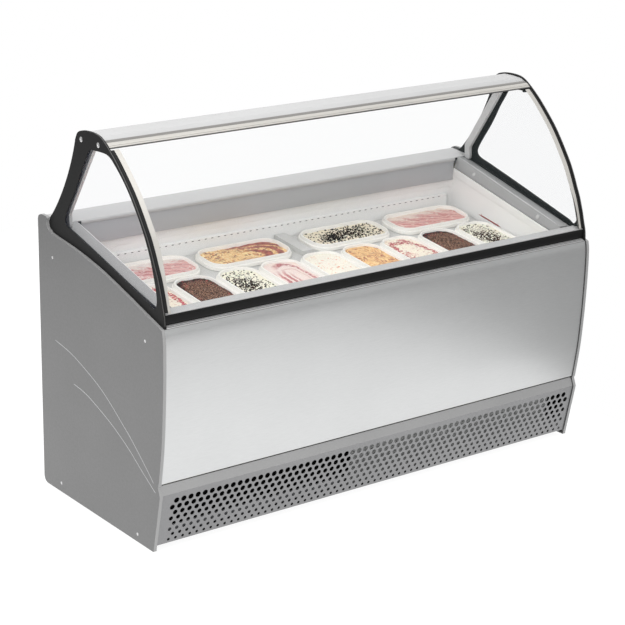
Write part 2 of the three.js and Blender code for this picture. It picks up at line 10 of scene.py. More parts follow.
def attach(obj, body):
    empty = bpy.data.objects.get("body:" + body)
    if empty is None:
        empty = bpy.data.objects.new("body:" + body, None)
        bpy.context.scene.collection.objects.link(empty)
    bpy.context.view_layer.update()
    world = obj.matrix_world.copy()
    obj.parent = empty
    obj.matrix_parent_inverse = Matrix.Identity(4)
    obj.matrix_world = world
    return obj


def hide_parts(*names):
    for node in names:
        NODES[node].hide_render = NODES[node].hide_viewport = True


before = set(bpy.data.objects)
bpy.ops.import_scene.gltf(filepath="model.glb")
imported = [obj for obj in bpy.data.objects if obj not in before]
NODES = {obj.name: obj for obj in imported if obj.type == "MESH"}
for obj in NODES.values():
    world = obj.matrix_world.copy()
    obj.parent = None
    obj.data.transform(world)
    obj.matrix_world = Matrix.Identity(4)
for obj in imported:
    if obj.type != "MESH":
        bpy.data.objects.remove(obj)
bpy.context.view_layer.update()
R = random.Random(7)


# ------------------------------------------------------------------ frame of reference
# Outlines are given in the cabinet frame in millimetres: y = 0 at the front foot of the end panels, z = 0 at their
# lower edge. P() takes such a point to the part's own frame in metres.
def P(x, y, z):
    return (x / 1000.0, (y - 297.0) / 1000.0, (z + 6.0) / 1000.0)


def catmull(points, n, closed=False):
    """Centripetal Catmull-Rom through the points, n samples."""
    p = [np.array(q, float) for q in points]
    if closed:
        ext = [p[-1]] + p + [p[0], p[1]]
    else:
        ext = [2 * p[0] - p[1]] + p + [2 * p[-1] - p[-2]]
    segs = len(ext) - 3
    out = []
    total = n if closed else n - 1
    for k in range(n):
        t = k / total * segs
        i = min(int(t), segs - 1)
        u = t - i
        p0, p1, p2, p3 = ext[i : i + 4]
        d1 = max(np.linalg.norm(p1 - p0), 1e-6) ** 0.5
        d2 = max(np.linalg.norm(p2 - p1), 1e-6) ** 0.5
        d3 = max(np.linalg.norm(p3 - p2), 1e-6) ** 0.5
        m1 = (p1 - p0) / d1 - (p2 - p0) / (d1 + d2) + (p2 - p1) / d2
        m2 = (p2 - p1) / d2 - (p3 - p1) / (d2 + d3) + (p3 - p2) / d3
        m1, m2 = m1 * d2, m2 * d2
        a = 2 * (p1 - p2) + m1 + m2
        b = -3 * (p1 - p2) - 2 * m1 - m2
        out.append(tuple(a * u**3 + b * u**2 + m1 * u + p1))
    return out


def area2(pts):
    return sum(
        a[0] * b[1] - b[0] * a[1] for a, b in zip(pts, pts[1:] + pts[:1], strict=True)
    )


# ------------------------------------------------------------------ mesh helpers
def link(name, mesh, mats, body, slot=None, stands_for=()):
    o = bpy.data.objects.new(name, mesh)
    bpy.context.scene.collection.objects.link(o)
    for m in mats if isinstance(mats, (list, tuple)) else [mats]:
        o.data.materials.append(m)
    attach(o, body)
    if stands_for:
        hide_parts(*([stands_for] if isinstance(stands_for, str) else stands_for))
    return o


def finish_mesh(bm, name, smooth=35.0):
    bmesh.ops.recalc_face_normals(bm, faces=bm.faces)
    mesh = bpy.data.meshes.new(name)
    bm.to_mesh(mesh)
    bm.free()
    for p in mesh.polygons:
        p.use_smooth = True
    mesh.set_sharp_from_angle(angle=math.radians(smooth))
    return mesh


def bevelled(mesh, width, segments=2, angle=30.0):
    """The mesh with its hard edges rounded, its flat faces kept flat."""
    o = bpy.data.objects.new("tmp", mesh)
    bpy.context.scene.collection.objects.link(o)
    m = o.modifiers.new("b", "BEVEL")
    m.width, m.segments = width, segments
    m.limit_method, m.angle_limit = "ANGLE", math.radians(angle)
    m.harden_normals = True
    m.use_clamp_overlap = True
    dg = bpy.context.evaluated_depsgraph_get()
    out = bpy.data.meshes.new_from_object(o.evaluated_get(dg))
    bpy.data.objects.remove(o)
    return out


def prism_bm(bm, outline, a0, a1, hole=None, axis="x", lift=None):
    """Closed prism: outline in the plane across the axis, from a0 to a1 along it. lift(x, y, z) moves a finished point."""

    def at(p, a):
        q = (a, p[0], p[1]) if axis == "x" else (p[0], a, p[1])
        if lift:
            q = lift(*q)
        return P(*q)

    loops = [list(outline)] + ([list(hole)] if hole else [])
    caps = []
    for a in (a0, a1):
        edges = []
        rings = []
        for loop in loops:
            vs = [bm.verts.new(at(p, a)) for p in loop]
            rings.append(vs)
            edges += [
                bm.edges.new((vs[i], vs[(i + 1) % len(vs)])) for i in range(len(vs))
            ]
        if hole:
            bmesh.ops.triangle_fill(
                bm, edges=edges, use_beauty=True, normal=(1, 0, 0)
            )
        else:
            bm.faces.new(rings[0])
        caps.append(rings)
    for r0, r1 in zip(*caps, strict=True):
        n = len(r0)
        for i in range(n):
            bm.faces.new((r0[i], r0[(i + 1) % n], r1[(i + 1) % n], r1[i]))


def prism(
    name,
    outline,
    a0,
    a1,
    mat,
    body="cabinet",
    hole=None,
    axis="x",
    bevel=0.0,
    lift=None,
    smooth=35.0,
    segments=2,
    **kw,
):
    bm = bmesh.new()
    for lo, hi in [(a0, a1)] if not isinstance(a0, (list, tuple)) else zip(a0, a1, strict=True):
        prism_bm(bm, outline, lo, hi, hole, axis, lift)
    mesh = finish_mesh(bm, name, smooth)
    if bevel:
        mesh = bevelled(mesh, bevel / 1000.0, segments)
    return link(name, mesh, mat, body, **kw)


def sweep_bm(bm, path, width, height, normal, taper=True):
    """A low half-round bead along the path, which lies on a face with the given outward normal."""
    pts = [Vector(p) for p in path]
    n = Vector(normal)
    rings = []
    for i, p in enumerate(pts):
        t = (pts[min(i + 1, len(pts) - 1)] - pts[max(i - 1, 0)]).normalized()
        side = t.cross(n).normalized()
        k = 1.0
        if taper:
            k = min(1.0, 0.15 + min(i, len(pts) - 1 - i) / 5.0)
        ring = []
        for a in range(7):
            th = math.pi * a / 6
            ring.append(
                bm.verts.new(
                    p
                    + side * math.cos(th) * width / 2 * k
                    + n * (math.sin(th) * height * k - 0.0002)
                )
            )
        rings.append(ring)
    for r0, r1 in zip(rings, rings[1:], strict=False):
        for a in range(6):
            bm.faces.new((r0[a], r0[a + 1], r1[a + 1], r1[a]))
        bm.faces.new((r0[6], r0[0], r1[0], r1[6]))
    bm.faces.new(rings[0])
    bm.faces.new(list(reversed(rings[-1])))


def revolve_bm(bm, profile, centre, axis, n=24):
    """Solid of revolution: profile is [(radius, height)], closed on the axis at both ends."""
    ax = Vector(axis).normalized()
    u = ax.orthogonal().normalized()
    v = ax.cross(u)
    c = Vector(centre)
    rings = []
    for r, h in profile:
        if r < 1e-9:
            rings.append([bm.verts.new(c + ax * h)])
        else:
            rings.append(
                [
                    bm.verts.new(
                        c
                        + ax * h
                        + (u * math.cos(2 * math.pi * k / n) + v * math.sin(2 * math.pi * k / n))
                        * r
                    )
                    for k in range(n)
                ]
            )
    for r0, r1 in zip(rings, rings[1:], strict=False):
        for k in range(n):
            j = (k + 1) % n
            if len(r0) == 1:
                bm.faces.new((r0[0], r1[k], r1[j]))
            elif len(r1) == 1:
                bm.faces.new((r0[k], r0[j], r1[0]))
            else:
                bm.faces.new((r0[k], r0[j], r1[j], r1[k]))


# ------------------------------------------------------------------ materials
def srgb(v):
    v = v / 255.0
    return v / 12.92 if v <= 0.04045 else ((v + 0.055) / 1.055) ** 2.4


def col(r, g=None, b=None):
    if g is None:
        g = b = r
    return (srgb(r), srgb(g), srgb(b), 1.0)


class Mat:
    """Small helper round one Principled material."""

    def __init__(self, name, **sockets):
        self.m = bpy.data.materials.new(name)
        self.m.use_nodes = True
        self.nt = self.m.node_tree
        self.b = self.nt.nodes["Principled BSDF"]
        for k, v in sockets.items():
            self.b.inputs[k.replace("_", " ")].default_value = v

    def node(self, kind, **props):
        n = self.nt.nodes.new(kind)
        for k, v in props.items():
            if hasattr(n, k):
                setattr(n, k, v)
            else:
                n.inputs[k.replace("_", " ")].default_value = v
        return n

    def wire(self, a, b):
        self.nt.links.new(a, b)

    def coords(self, scale=(1, 1, 1), rotation=(0, 0, 0)):
        if not hasattr(self, "tc"):
            self.tc = self.node("ShaderNodeTexCoord")
        mp = self.node("ShaderNodeMapping")
        mp.inputs["Scale"].default_value = scale
        mp.inputs["Rotation"].default_value = rotation
        self.wire(self.tc.outputs["Object"], mp.inputs["Vector"])
        return mp.outputs["Vector"]

    def noise(self, scale, stretch=(1, 1, 1), detail=3.0, rough=0.5, distortion=0.0):
        n = self.node("ShaderNodeTexNoise")
        n.inputs["Scale"].default_value = scale
        n.inputs["Detail"].default_value = detail
        n.inputs["Roughness"].default_value = rough
        n.inputs["Distortion"].default_value = distortion
        self.wire(self.coords(stretch), n.inputs["Vector"])
        return n.outputs["Fac"]

    def ramp(self, fac, *stops):
        r = self.node("ShaderNodeValToRGB")
        while len(r.color_ramp.elements) < len(stops):
            r.color_ramp.elements.new(0.5)
        for e, (p, c) in zip(r.color_ramp.elements, stops, strict=True):
            e.position = p
            e.color = c if len(c) == 4 else (*c, 1)
        self.wire(fac, r.inputs["Fac"])
        return r.outputs["Color"]

    def remap(self, fac, lo, hi, a=0.0, b=1.0):
        n = self.node("ShaderNodeMapRange")
        n.inputs["From Min"].default_value = a
        n.inputs["From Max"].default_value = b
        n.inputs["To Min"].default_value = lo
        n.inputs["To Max"].default_value = hi
        self.wire(fac, n.inputs["Value"])
        return n.outputs["Result"]

    def math(self, op, a, b):
        n = self.node("ShaderNodeMath", operation=op)
        for i, v in enumerate((a, b)):
            if isinstance(v, (int, float)):
                n.inputs[i].default_value = v
            else:
                self.wire(v, n.inputs[i])
        return n.outputs[0]

    def mix(self, fac, a, b, blend="MIX"):
        n = self.node("ShaderNodeMix", data_type="RGBA", blend_type=blend)
        for s, v in ((0, fac), (6, a), (7, b)):
            if isinstance(v, (int, float)):
                n.inputs[s].default_value = v
            elif isinstance(v, tuple):
                n.inputs[s].default_value = v if len(v) == 4 else (*v, 1)
            else:
                self.wire(v, n.inputs[s])
        return n.outputs[2]

    def bump(self, height, strength, distance=0.001):
        n = self.node("ShaderNodeBump")
        n.inputs["Strength"].default_value = strength
        n.inputs["Distance"].default_value = distance
        if getattr(self, "last_bump", None):
            self.wire(self.last_bump, n.inputs["Normal"])
        self.wire(height, n.inputs["Height"])
        self.last_bump = n.outputs["Normal"]
        self.wire(self.last_bump, self.b.inputs["Normal"])

    def color(self, c):
        self.wire(c, self.b.inputs["Base Color"])

    def rough(self, r):
        self.wire(r, self.b.inputs["Roughness"])


def vary(c, d):
    """A colour and its slightly darker and lighter neighbours."""
    return tuple(max(0.0, v * (1 - d)) for v in c[:3]) + (1,), tuple(
        min(1.0, v * (1 + d)) for v in c[:3]
    ) + (1,)


def brushed(name, c, rough, grain=(1, 60, 60), scale=18.0, metal=1.0, d=0.05, bump=0.12, spread=0.05, mottle=0.03):
    """Directional metal: fine lines along one axis, with a slow patchiness over them."""
    m = Mat(name, Metallic=metal)
    lines = m.noise(scale, grain, detail=4, rough=0.6)
    patch = m.noise(3.0, detail=2)
    lo, hi = vary(c, d)
    base = m.ramp(lines, (0.3, lo), (0.7, hi))
    plo, phi = 1 - mottle, 1 + mottle
    m.color(m.mix(1.0, base, m.ramp(patch, (0.3, (plo, plo, plo)), (0.7, (phi, phi, phi))), "MULTIPLY"))
    m.rough(m.remap(lines, rough - spread, rough + spread, 0.25, 0.75))
    m.bump(lines, bump, 0.0002)
    return m.m


def coated(name, c, rough, metal=0.0, grain=900.0, d=0.03, bump=0.15, depth=0.0002, spread=0.05, spec=0.5, mottle=0.03):
    """Even coating: fine isotropic grain and a slow variation of tone."""
    m = Mat(name, Metallic=metal)
    m.b.inputs["Specular IOR Level"].default_value = spec
    g = m.noise(grain, detail=3, rough=0.6)
    patch = m.noise(4.0, detail=3)
    lo, hi = vary(c, d)
    base = m.ramp(g, (0.3, lo), (0.7, hi))
    plo, phi = 1 - mottle, 1 + mottle
    m.color(m.mix(1.0, base, m.ramp(patch, (0.3, (plo, plo, plo)), (0.7, (phi, phi, phi))), "MULTIPLY"))
    m.rough(m.remap(m.noise(grain / 6, detail=4), rough - spread, rough + spread, 0.3, 0.7))
    m.bump(g, bump, depth)
    return m.m


M = {}
M["panel"] = coated("panel_grey", col(128, 128, 128), 0.42, metal=0.85, grain=700, d=0.10, bump=0.10, mottle=0.03)
M["front"] = brushed("front_silver", col(213, 214, 214), 0.40, grain=(1, 26, 26), scale=34, d=0.045, bump=0.05, mottle=0.015)
M["kick"] = coated("kick_grey", col(146, 146, 147), 0.42, metal=0.85, grain=700, d=0.08, bump=0.10)
M["black"] = coated("frame_black", col(30), 0.5, grain=1400, d=0.12, bump=0.2, spec=0.12)
M["gasket"] = coated("gasket_black", col(24), 0.6, grain=900, d=0.15, bump=0.2, spec=0.3)
M["bumper"] = coated("bumper_black", col(13), 0.45, grain=500, d=0.15, bump=0.12, spec=0.22)
# lighter grey for the upper fold of the kick sheet: painted light
M["strip"] = coated("kick_fold_lit_grey", col(178), 0.42, metal=0.85, grain=700, d=0.05, bump=0.10)
M["riser"] = coated("riser_grey", col(182, 184, 187), 0.5, metal=0.15, grain=900, d=0.02, bump=0.06)
M["rail"] = brushed("rail_grey", col(184, 184, 184), 0.45, grain=(1, 90, 90), scale=12, metal=0.35, d=0.04)
M["ledge"] = coated("ledge_light", col(192, 192, 192), 0.5, metal=0.1, grain=900, d=0.02, bump=0.08)
M["grey"] = coated("trim_grey", col(156, 156, 156), 0.45, metal=0.15, grain=900, d=0.025, bump=0.08)
M["bright"] = brushed("bright_trim", col(206, 203, 197), 0.32, grain=(1, 80, 80), scale=10, metal=0.5, d=0.03, bump=0.04)
M["brush"] = brushed("brushed_trim", col(150, 148, 145), 0.34, grain=(1, 220, 220), scale=6, d=0.22, bump=0.2)
M["post"] = brushed("post_grey", col(204, 204, 204), 0.42, grain=(60, 60, 1), scale=20, metal=0.4, d=0.04, bump=0.05)
M["canopy"] = coated("canopy_white", col(196, 196, 196), 0.5, metal=0.0, grain=900, d=0.015, bump=0.05)
M["lamp"] = coated("lamp_white", col(246, 247, 247), 0.5, grain=300, d=0.01, bump=0.04)
M["lamp"].node_tree.nodes["Principled BSDF"].inputs["Emission Color"].default_value = (1.0, 0.985, 0.96, 1)
M["lamp"].node_tree.nodes["Principled BSDF"].inputs["Emission Strength"].default_value = 1.0
# lighter grey for the rim faces of the end panels: painted highlight
M["edge"] = coated("panel_rim_highlight", col(160, 160, 160), 0.5, grain=320, d=0.03, bump=0.08)
M["front_lip"] = brushed("front_lip", col(214, 214, 214), 0.4, grain=(1, 26, 26), scale=34, metal=0.5, d=0.03, bump=0.04)
M["lip_line"] = coated("lip_shadow", col(128), 0.6, grain=900, d=0.1, bump=0.1, spec=0.2)
M["cap"] = coated("cap_grey", col(188, 188, 188), 0.4, grain=400, d=0.02, bump=0.05)
# a white rack, given a grey darker than the liner as painted shade for the shadows between the tubs
M["rack"] = coated("rack_shaded_grey", col(206, 206, 204), 0.45, grain=260, d=0.02, bump=0.08, depth=0.0003)
# lighter white for the top band of the side walls and the sill ridges: painted highlight
M["band"] = coated("liner_highlight_band", col(244, 244, 245), 0.4, grain=400, d=0.01, bump=0.05)
M["liner"] = coated("liner_white", col(240, 240, 239), 0.34, grain=160, d=0.012, bump=0.10, depth=0.0004)
M["foam"] = coated("foam_cream", col(226, 216, 178), 0.85, grain=260, d=0.08, bump=0.6, depth=0.001)
M["tub"] = coated("tub_white", col(243, 241, 236), 0.36, grain=220, d=0.012, bump=0.08, depth=0.0003)
M["tub"].node_tree.nodes["Principled BSDF"].inputs["Subsurface Weight"].default_value = 0.12
M["tub"].node_tree.nodes["Principled BSDF"].inputs["Subsurface Radius"].default_value = (0.004, 0.0035, 0.003)
M["fin"] = brushed("fin_aluminium", col(200, 203, 205), 0.35, grain=(60, 60, 1), scale=20)
M["zinc"] = coated("galvanised", col(150, 152, 155), 0.4, metal=0.9, grain=60, d=0.14, bump=0.1)
M["machine"] = coated("machine_black", col(38), 0.4, grain=400, d=0.15, bump=0.3, spec=0.5)
M["fan"] = coated("fan_black", col(34), 0.5, grain=700, d=0.1, bump=0.15)
M["foot"] = coated("foot_black", col(30), 0.65, grain=500, d=0.15, bump=0.4)
M["control"] = coated("control_black", col(28), 0.4, grain=1200, d=0.12, bump=0.2)
M["lip"] = brushed("shadow_lip", col(92, 91, 90), 0.4, grain=(1, 120, 120), scale=8, metal=0.7, d=0.1)
M["screw"] = brushed("screw_steel", col(214, 214, 214), 0.25, grain=(1, 1, 1), scale=900, d=0.06)
# much lighter steel for the beads of the pressed lines on the end panels: painted highlight
M["bead"] = brushed("pressed_line_highlight", col(205, 206, 207), 0.3, grain=(1, 1, 1), scale=600, d=0.04)
M["red"] = coated("load_line_red", col(150, 58, 58), 0.5, grain=500, d=0.2, bump=0.2)
# near-black felt for the sheets put behind openings: painted shade
M["dark"] = coated("painted_shade_black", col(7), 0.95, grain=240, d=0.4, bump=0.8, depth=0.001, spec=0.05)
M["baffle"] = coated("baffle_grey", col(160, 161, 160), 0.45, metal=0.6, grain=500, d=0.1, bump=0.1)
M["display"] = coated("display_smoke", col(12, 14, 16), 0.12, grain=900, d=0.1, bump=0.02)


def glass(name, tint, alpha, d=0.02):
    m = Mat(name, Roughness=0.04, Metallic=0.0)
    m.b.inputs["Alpha"].default_value = alpha
    m.b.inputs["IOR"].default_value = 1.5
    smear = m.noise(5.0, detail=4)
    lo, hi = vary(tint, 0.02)
    m.color(m.ramp(smear, (0.3, lo), (0.7, hi)))
    m.rough(m.remap(m.noise(9.0, detail=5), 0.02, 0.06, 0.3, 0.7))
    return m.m


M["glass"] = glass("clear_glass", col(140, 158, 160), 0.022)
M["side_glass"] = glass("side_glass", col(112, 124, 156), 0.026)


def paint(mat, *nodes):
    for n in nodes:
        o = NODES[n]
        o.data.materials.clear()
        o.data.materials.append(mat)


paint(M["ledge"], "rear_worktop")
paint(M["zinc"], "base_frame")
paint(M["foam"], "insulated_tank")
paint(M["liner"], "tank_liner", "air_duct")
paint(M["rack"], "tub_support_grid")
paint(M["fin"], "evaporator_coil", "condenser_coil")
paint(M["machine"], "compressor")
paint(M["fan"], "evaporator_fan_frame", "evaporator_fan_blade", "condenser_fan_shroud", "condenser_fan_blade", "condensate_tray")
paint(M["foot"], "foot_front_left", "foot_front_right", "foot_rear_left", "foot_rear_right")
paint(M["control"], "controller", "rocker_switch", "power_inlet")
paint(M["panel"], "rear_panel", "rear_grille")
paint(M["baffle"], "grille_baffle")


# ------------------------------------------------------------------ outlines
def fillet(pts, r, n=4, keep=()):
    """Rounds every corner of a closed outline with a radius of up to r."""
    out = []
    m = len(pts)
    for i, p in enumerate(pts):
        p = np.array(p, float)
        a = np.array(pts[i - 1], float) - p
        b = np.array(pts[(i + 1) % m], float) - p
        la, lb = np.linalg.norm(a), np.linalg.norm(b)
        a, b = a / la, b / lb
        ang = math.acos(max(-1, min(1, float(a @ b))))
        if ang > math.radians(176) or i in keep:
            out.append(tuple(p))
            continue
        d = min(r / math.tan(ang / 2), la * 0.45, lb * 0.45)
        s, e = p + a * d, p + b * d
        for k in range(n + 1):
            t = k / n
            out.append(tuple((1 - t) ** 2 * s + 2 * t * (1 - t) * p + t * t * e))
    return out


def inset(pts, d):
    """The outline moved inwards by d."""
    sign = 1.0 if area2(pts) > 0 else -1.0
    out = []
    m = len(pts)
    for i, p in enumerate(pts):
        p = np.array(p, float)
        t1 = p - np.array(pts[i - 1], float)
        t2 = np.array(pts[(i + 1) % m], float) - p
        t1, t2 = t1 / np.linalg.norm(t1), t2 / np.linalg.norm(t2)
        n1 = np.array([-t1[1], t1[0]]) * sign
        n2 = np.array([-t2[1], t2[0]]) * sign
        s = n1 + n2
        ls = np.linalg.norm(s)
        k = d / max(0.5, float(s @ n1) / ls) / ls
        out.append(tuple(p + s * k))
    return out


BAY, FRAME_IN, FRAME_OUT, ARM_IN, GAP = 829.0, 822.0, 829.0, 809.0, 0.5
FRONT = [(-28, 222), (-37, 280), (-45, 342), (-51, 420), (-55, 500), (-57, 592), (-55, 681), (-50, 706)]
front = catmull(FRONT, 49)
panel = (
    fillet([(0, 3), (2, 0), (633, 0), (645, 6), (651, 18), (651, 873), (647, 885), (631, 892), (606, 892), (591, 888), (601, 873), (595, 856), (577, 847)], 9)
    + catmull([(541, 840), (428, 827), (284, 800), (146, 763), (12, 724)], 25)
    + front[::-1]
    + [(-24, 216), (-35, 188)]
)
arc = catmull(
    [(-47, 716), (-44, 742), (-36, 768), (-27, 799), (-18, 825), (-8, 851), (5, 877), (21.5, 912), (41.5, 949), (66, 985), (92, 1020.5), (121, 1056.5), (154, 1091), (191, 1126), (214, 1146), (236, 1163), (257, 1178), (280, 1192), (301, 1200), (322, 1202.5), (345, 1203), (370, 1201.5), (393, 1198), (412, 1192), (423, 1184), (434, 1165)],
    101,
)
lower = catmull([(617, 864), (611, 850), (595, 842), (517, 830), (451, 823), (306, 795), (167, 758), (32, 719.5), (-12, 708), (-47, 707.5)], 45)
back_leg = catmull([(434, 1165), (440, 1145), (447, 1125), (463, 1086), (483, 1045), (507, 1003), (536, 959), (571, 914), (594, 890), (612, 877), (617, 864)], 41)
frame_line = arc[:-1] + back_leg[:-1] + lower
hole_line = catmull(
    [(357, 1144), (378, 1113), (400, 1079), (418, 1045), (443, 1002), (475, 955), (498, 918), (504, 902), (499, 889), (485, 881), (448, 872), (304, 835), (165, 798), (84, 776), (30, 761), (14, 753), (2, 758), (-7, 775), (-5, 800), (7, 843), (21.5, 886), (39.5, 925), (59.5, 961), (83.5, 997), (109.5, 1031), (135.5, 1062), (159.5, 1087), (186.5, 1111), (213.5, 1132), (234.5, 1146), (254.5, 1153), (282, 1154), (328, 1151), (346, 1149)],
    170,
    closed=True,
)
arm_zone = [(16, 690), (16, 742), (84, 760), (165, 782), (304, 819), (448, 856), (528, 866), (528, 690)]


def boolean(a, b, op):
    oa, ob = (bpy.data.objects.new("t", m) for m in (a, b))
    for o in (oa, ob):
        bpy.context.scene.collection.objects.link(o)
    m = oa.modifiers.new("b", "BOOLEAN")
    m.operation, m.object, m.solver = op, ob, "EXACT"
    dg = bpy.context.evaluated_depsgraph_get()
    out = bpy.data.meshes.new_from_object(oa.evaluated_get(dg))
    bpy.data.objects.remove(oa)
    bpy.data.objects.remove(ob)
    return out


# ------------------------------------------------------------------ end panels and side frames
for side, s in (("left", -1), ("right", 1)):
    bm = bmesh.new()
    xo, xi, xf = s * 840, s * 829.5, s * 837.4
    rim_o, rim_i = panel, inset(panel, 3.2)
    rings = []
    for line, x in ((rim_o, xo), (rim_o, xi), (rim_i, xi), (rim_i, xf)):
        rings.append([bm.verts.new(P(x, *p)) for p in line])
    n = len(panel)
    for r0, r1 in zip(rings, rings[1:], strict=False):
        for i in range(n):
            bm.faces.new((r0[i], r0[(i + 1) % n], r1[(i + 1) % n], r1[i]))
    bm.faces.new(rings[0])
    bm.faces.new(rings[3])
    mesh = bevelled(finish_mesh(bm, side + "_end_panel"), 0.0011, 3, 40)
    # the rim faces take a lighter, non-metal grey than the panel face: a painted highlight along the panel's edges
    for p in mesh.polygons:
        if abs(p.normal.x) < 0.75 and abs(p.center.x) > 0.8296:
            p.material_index = 1
    link(side + "_end_panel_v", mesh, [M["panel"], M["edge"]], "cabinet", slot="panel_grey", stands_for=side + "_end_panel")

    # side frame: a thin plate along the curved front edge, thicker along the lower arm
    span = (lambda a, b: (a, b)) if s > 0 else (lambda a, b: (-b, -a))
    bm = bmesh.new()
    prism_bm(bm, frame_line, *span(FRAME_IN, FRAME_OUT), hole=hole_line)
    plate = bevelled(finish_mesh(bm, "plate", 40), 0.0012, 3, 40)
    link(side + "_frame_plate", plate, M["black"], "cabinet", slot="frame_black", stands_for=side + "_side_frame")
    bm = bmesh.new()
    prism_bm(bm, inset(frame_line, 1), *span(ARM_IN, FRAME_IN + 0.6), hole=inset(hole_line, -1))
    a = finish_mesh(bm, "a")
    bm = bmesh.new()
    prism_bm(bm, arm_zone, *span(ARM_IN - 5, FRAME_IN + 5))
    b = finish_mesh(bm, "b")
    arms = boolean(a, b, "INTERSECT")
    arms.set_sharp_from_angle(angle=math.radians(35))
    link(side + "_frame_arms", bevelled(arms, 0.0016, 3, 40), M["black"], "cabinet", slot="frame_black")
    prism(side + "_side_pane", inset(hole_line, 0.6), s * 825.5 - 2.5, s * 825.5 + 2.5, [M["side_glass"]], slot="clear_glass", stands_for=side + "_side_glass", bevel=0.3)
    # screws: low domed heads with a round recess, on the end panel and at the top of the side frame
    bm = bmesh.new()
    for y, z, x, r in ((566, 769, 840, 5.5), (39, 651, 840, 5.5), (542, 30, 840, 5.5), (90, 25, 840, 5.5), (400, 1170, FRAME_OUT, 8.0), (303, 1172, FRAME_OUT, 8.0)):
        if x == 840:
            prof = [(0, -1.0), (r * 0.9, -1.0), (r * 0.9, 0.15), (r * 0.74, 0.4), (r * 0.42, 0.45), (r * 0.32, 0.15), (0, 0.15)]
        else:
            prof = [(0, -2.0), (r, -2.0), (r, 0.2), (r * 0.86, 0.75), (r * 0.45, 0.95), (r * 0.38, 0.2), (0, 0.2)]
        revolve_bm(bm, [(q / 1000, h / 1000) for q, h in prof], P(s * x, y, z), (s, 0, 0), 20)
    link(side + "_screws", finish_mesh(bm, "screws", 40), M["screw"], "cabinet", slot="panel_grey")

    # a thin grey metal line along the front edge of the frame, lighter than the black plate: a painted highlight for
    # the light caught by the frame's edge
    bm = bmesh.new()
    path = []
    for i, p in enumerate(arc[:76]):
        path.append(Vector(P(s * (FRAME_OUT - 2.3), *p)))
    ring_prev = None
    for i, p in enumerate(path):
        t = (path[min(i + 1, len(path) - 1)] - path[max(i - 1, 0)]).normalized()
        out = Vector((1, 0, 0)).cross(t).normalized()
        if out.y > 0:
            out = -out
        ring = []
        for dx, h in ((-1.5, -0.6), (-1.5, 0.15), (-1.1, 0.4), (1.1, 0.4), (1.5, 0.15), (1.5, -0.6)):
            ring.append(bm.verts.new(p + Vector((dx / 1000, 0, 0)) + out * (h / 1000)))
        if ring_prev:
            for k in range(6):
                bm.faces.new((ring_prev[k], ring_prev[(k + 1) % 6], ring[(k + 1) % 6], ring[k]))
        else:
            bm.faces.new(ring)
        ring_prev = ring
    bm.faces.new(ring_prev[::-1])
    link(side + "_frame_highlight_line", finish_mesh(bm, "highlight_line", 50), M["lip"], "cabinet", slot="frame_black")

    # two shallow pressed lines sweep across each end panel; their beads take a much lighter steel than the panel, a
    # painted highlight along the pressed lines
    bm = bmesh.new()
    for line in (
        [(584, 507), (471, 489), (382, 462), (295, 428), (238, 397), (182, 361), (127, 325), (72, 283), (18, 239), (-6, 217)],
        [(466, 394), (385, 383), (297, 356), (212, 323), (128, 280), (73, 245), (18, 212), (-17, 191)],
    ):
        pts = catmull(line, 120)
        sweep_bm(bm, [P(s * 840, *q) for q in pts], 0.0026, 0.0003, (s, 0, 0))
    link(side + "_panel_line_highlights", finish_mesh(bm, "lines", 60), M["bead"], "cabinet", slot="panel_grey")

# ------------------------------------------------------------------ front
skin = [(y + 4, z) for y, z in front]
top = skin[-1]
prism(
    "front_panel_v",
    skin + [(-14, top[1]), (-14, top[1] - 3), (top[0] + 4, top[1] - 3)] + [(y + 3, z) for y, z in skin[1:-1][::-1]] + [(-21, 226), (-6, 226), (-6, 222)],
    -BAY + 0.4,
    BAY - 0.4,
    M["front"],
    slot="front_silver",
    stands_for="front_panel",
    bevel=0.8,
)

# perforated kick panel: one bent sheet, its holes growing smaller towards the floor
A = np.array([-31.5, 188.5])
B = np.array([2.5, 18.0])
LEN = float(np.linalg.norm(B - A))
DIR = (B - A) / LEN
PITCH, MID = 25.3, 8.5
ROWS = [27, 48.5, 69, 88.5, 107.5, 126.5, 145, 162.5]
DIAS = [18.4, 17.2, 16.2, 14.6, 13.6, 12.4, 11.4, 9.8]
bm = bmesh.new()
cache = {}


def kv(x, s):
    """Vertex of the kick sheet: x along it, s down its slope; a negative s is on the upper fold."""
    key = (round(x, 3), round(s, 3))
    if key not in cache:
        if s >= 0:
            y, z = A + DIR * min(s, LEN)
            if s > LEN:
                y, z = B[0] + (s - LEN), B[1]
        else:
            u = -s / 30.66
            y, z = A + (np.array([-19.0, 216.5]) - A) * min(u, 1)
            if u > 1:
                y, z = -19.0 + (-s - 30.66), 216.5
        cache[key] = bm.verts.new(P(x, y, z))
    return cache[key]


half = PITCH / 2
NX = 62  # columns to either side of the middle, in half pitches
grid = [MID + k * half for k in range(-64, 65)]
xs = [-BAY + 0.4] + grid + [BAY - 0.4]
edges_s = [0.0] + [(a + b) / 2 for a, b in zip(ROWS, ROWS[1:], strict=False)] + [LEN - 3.0]
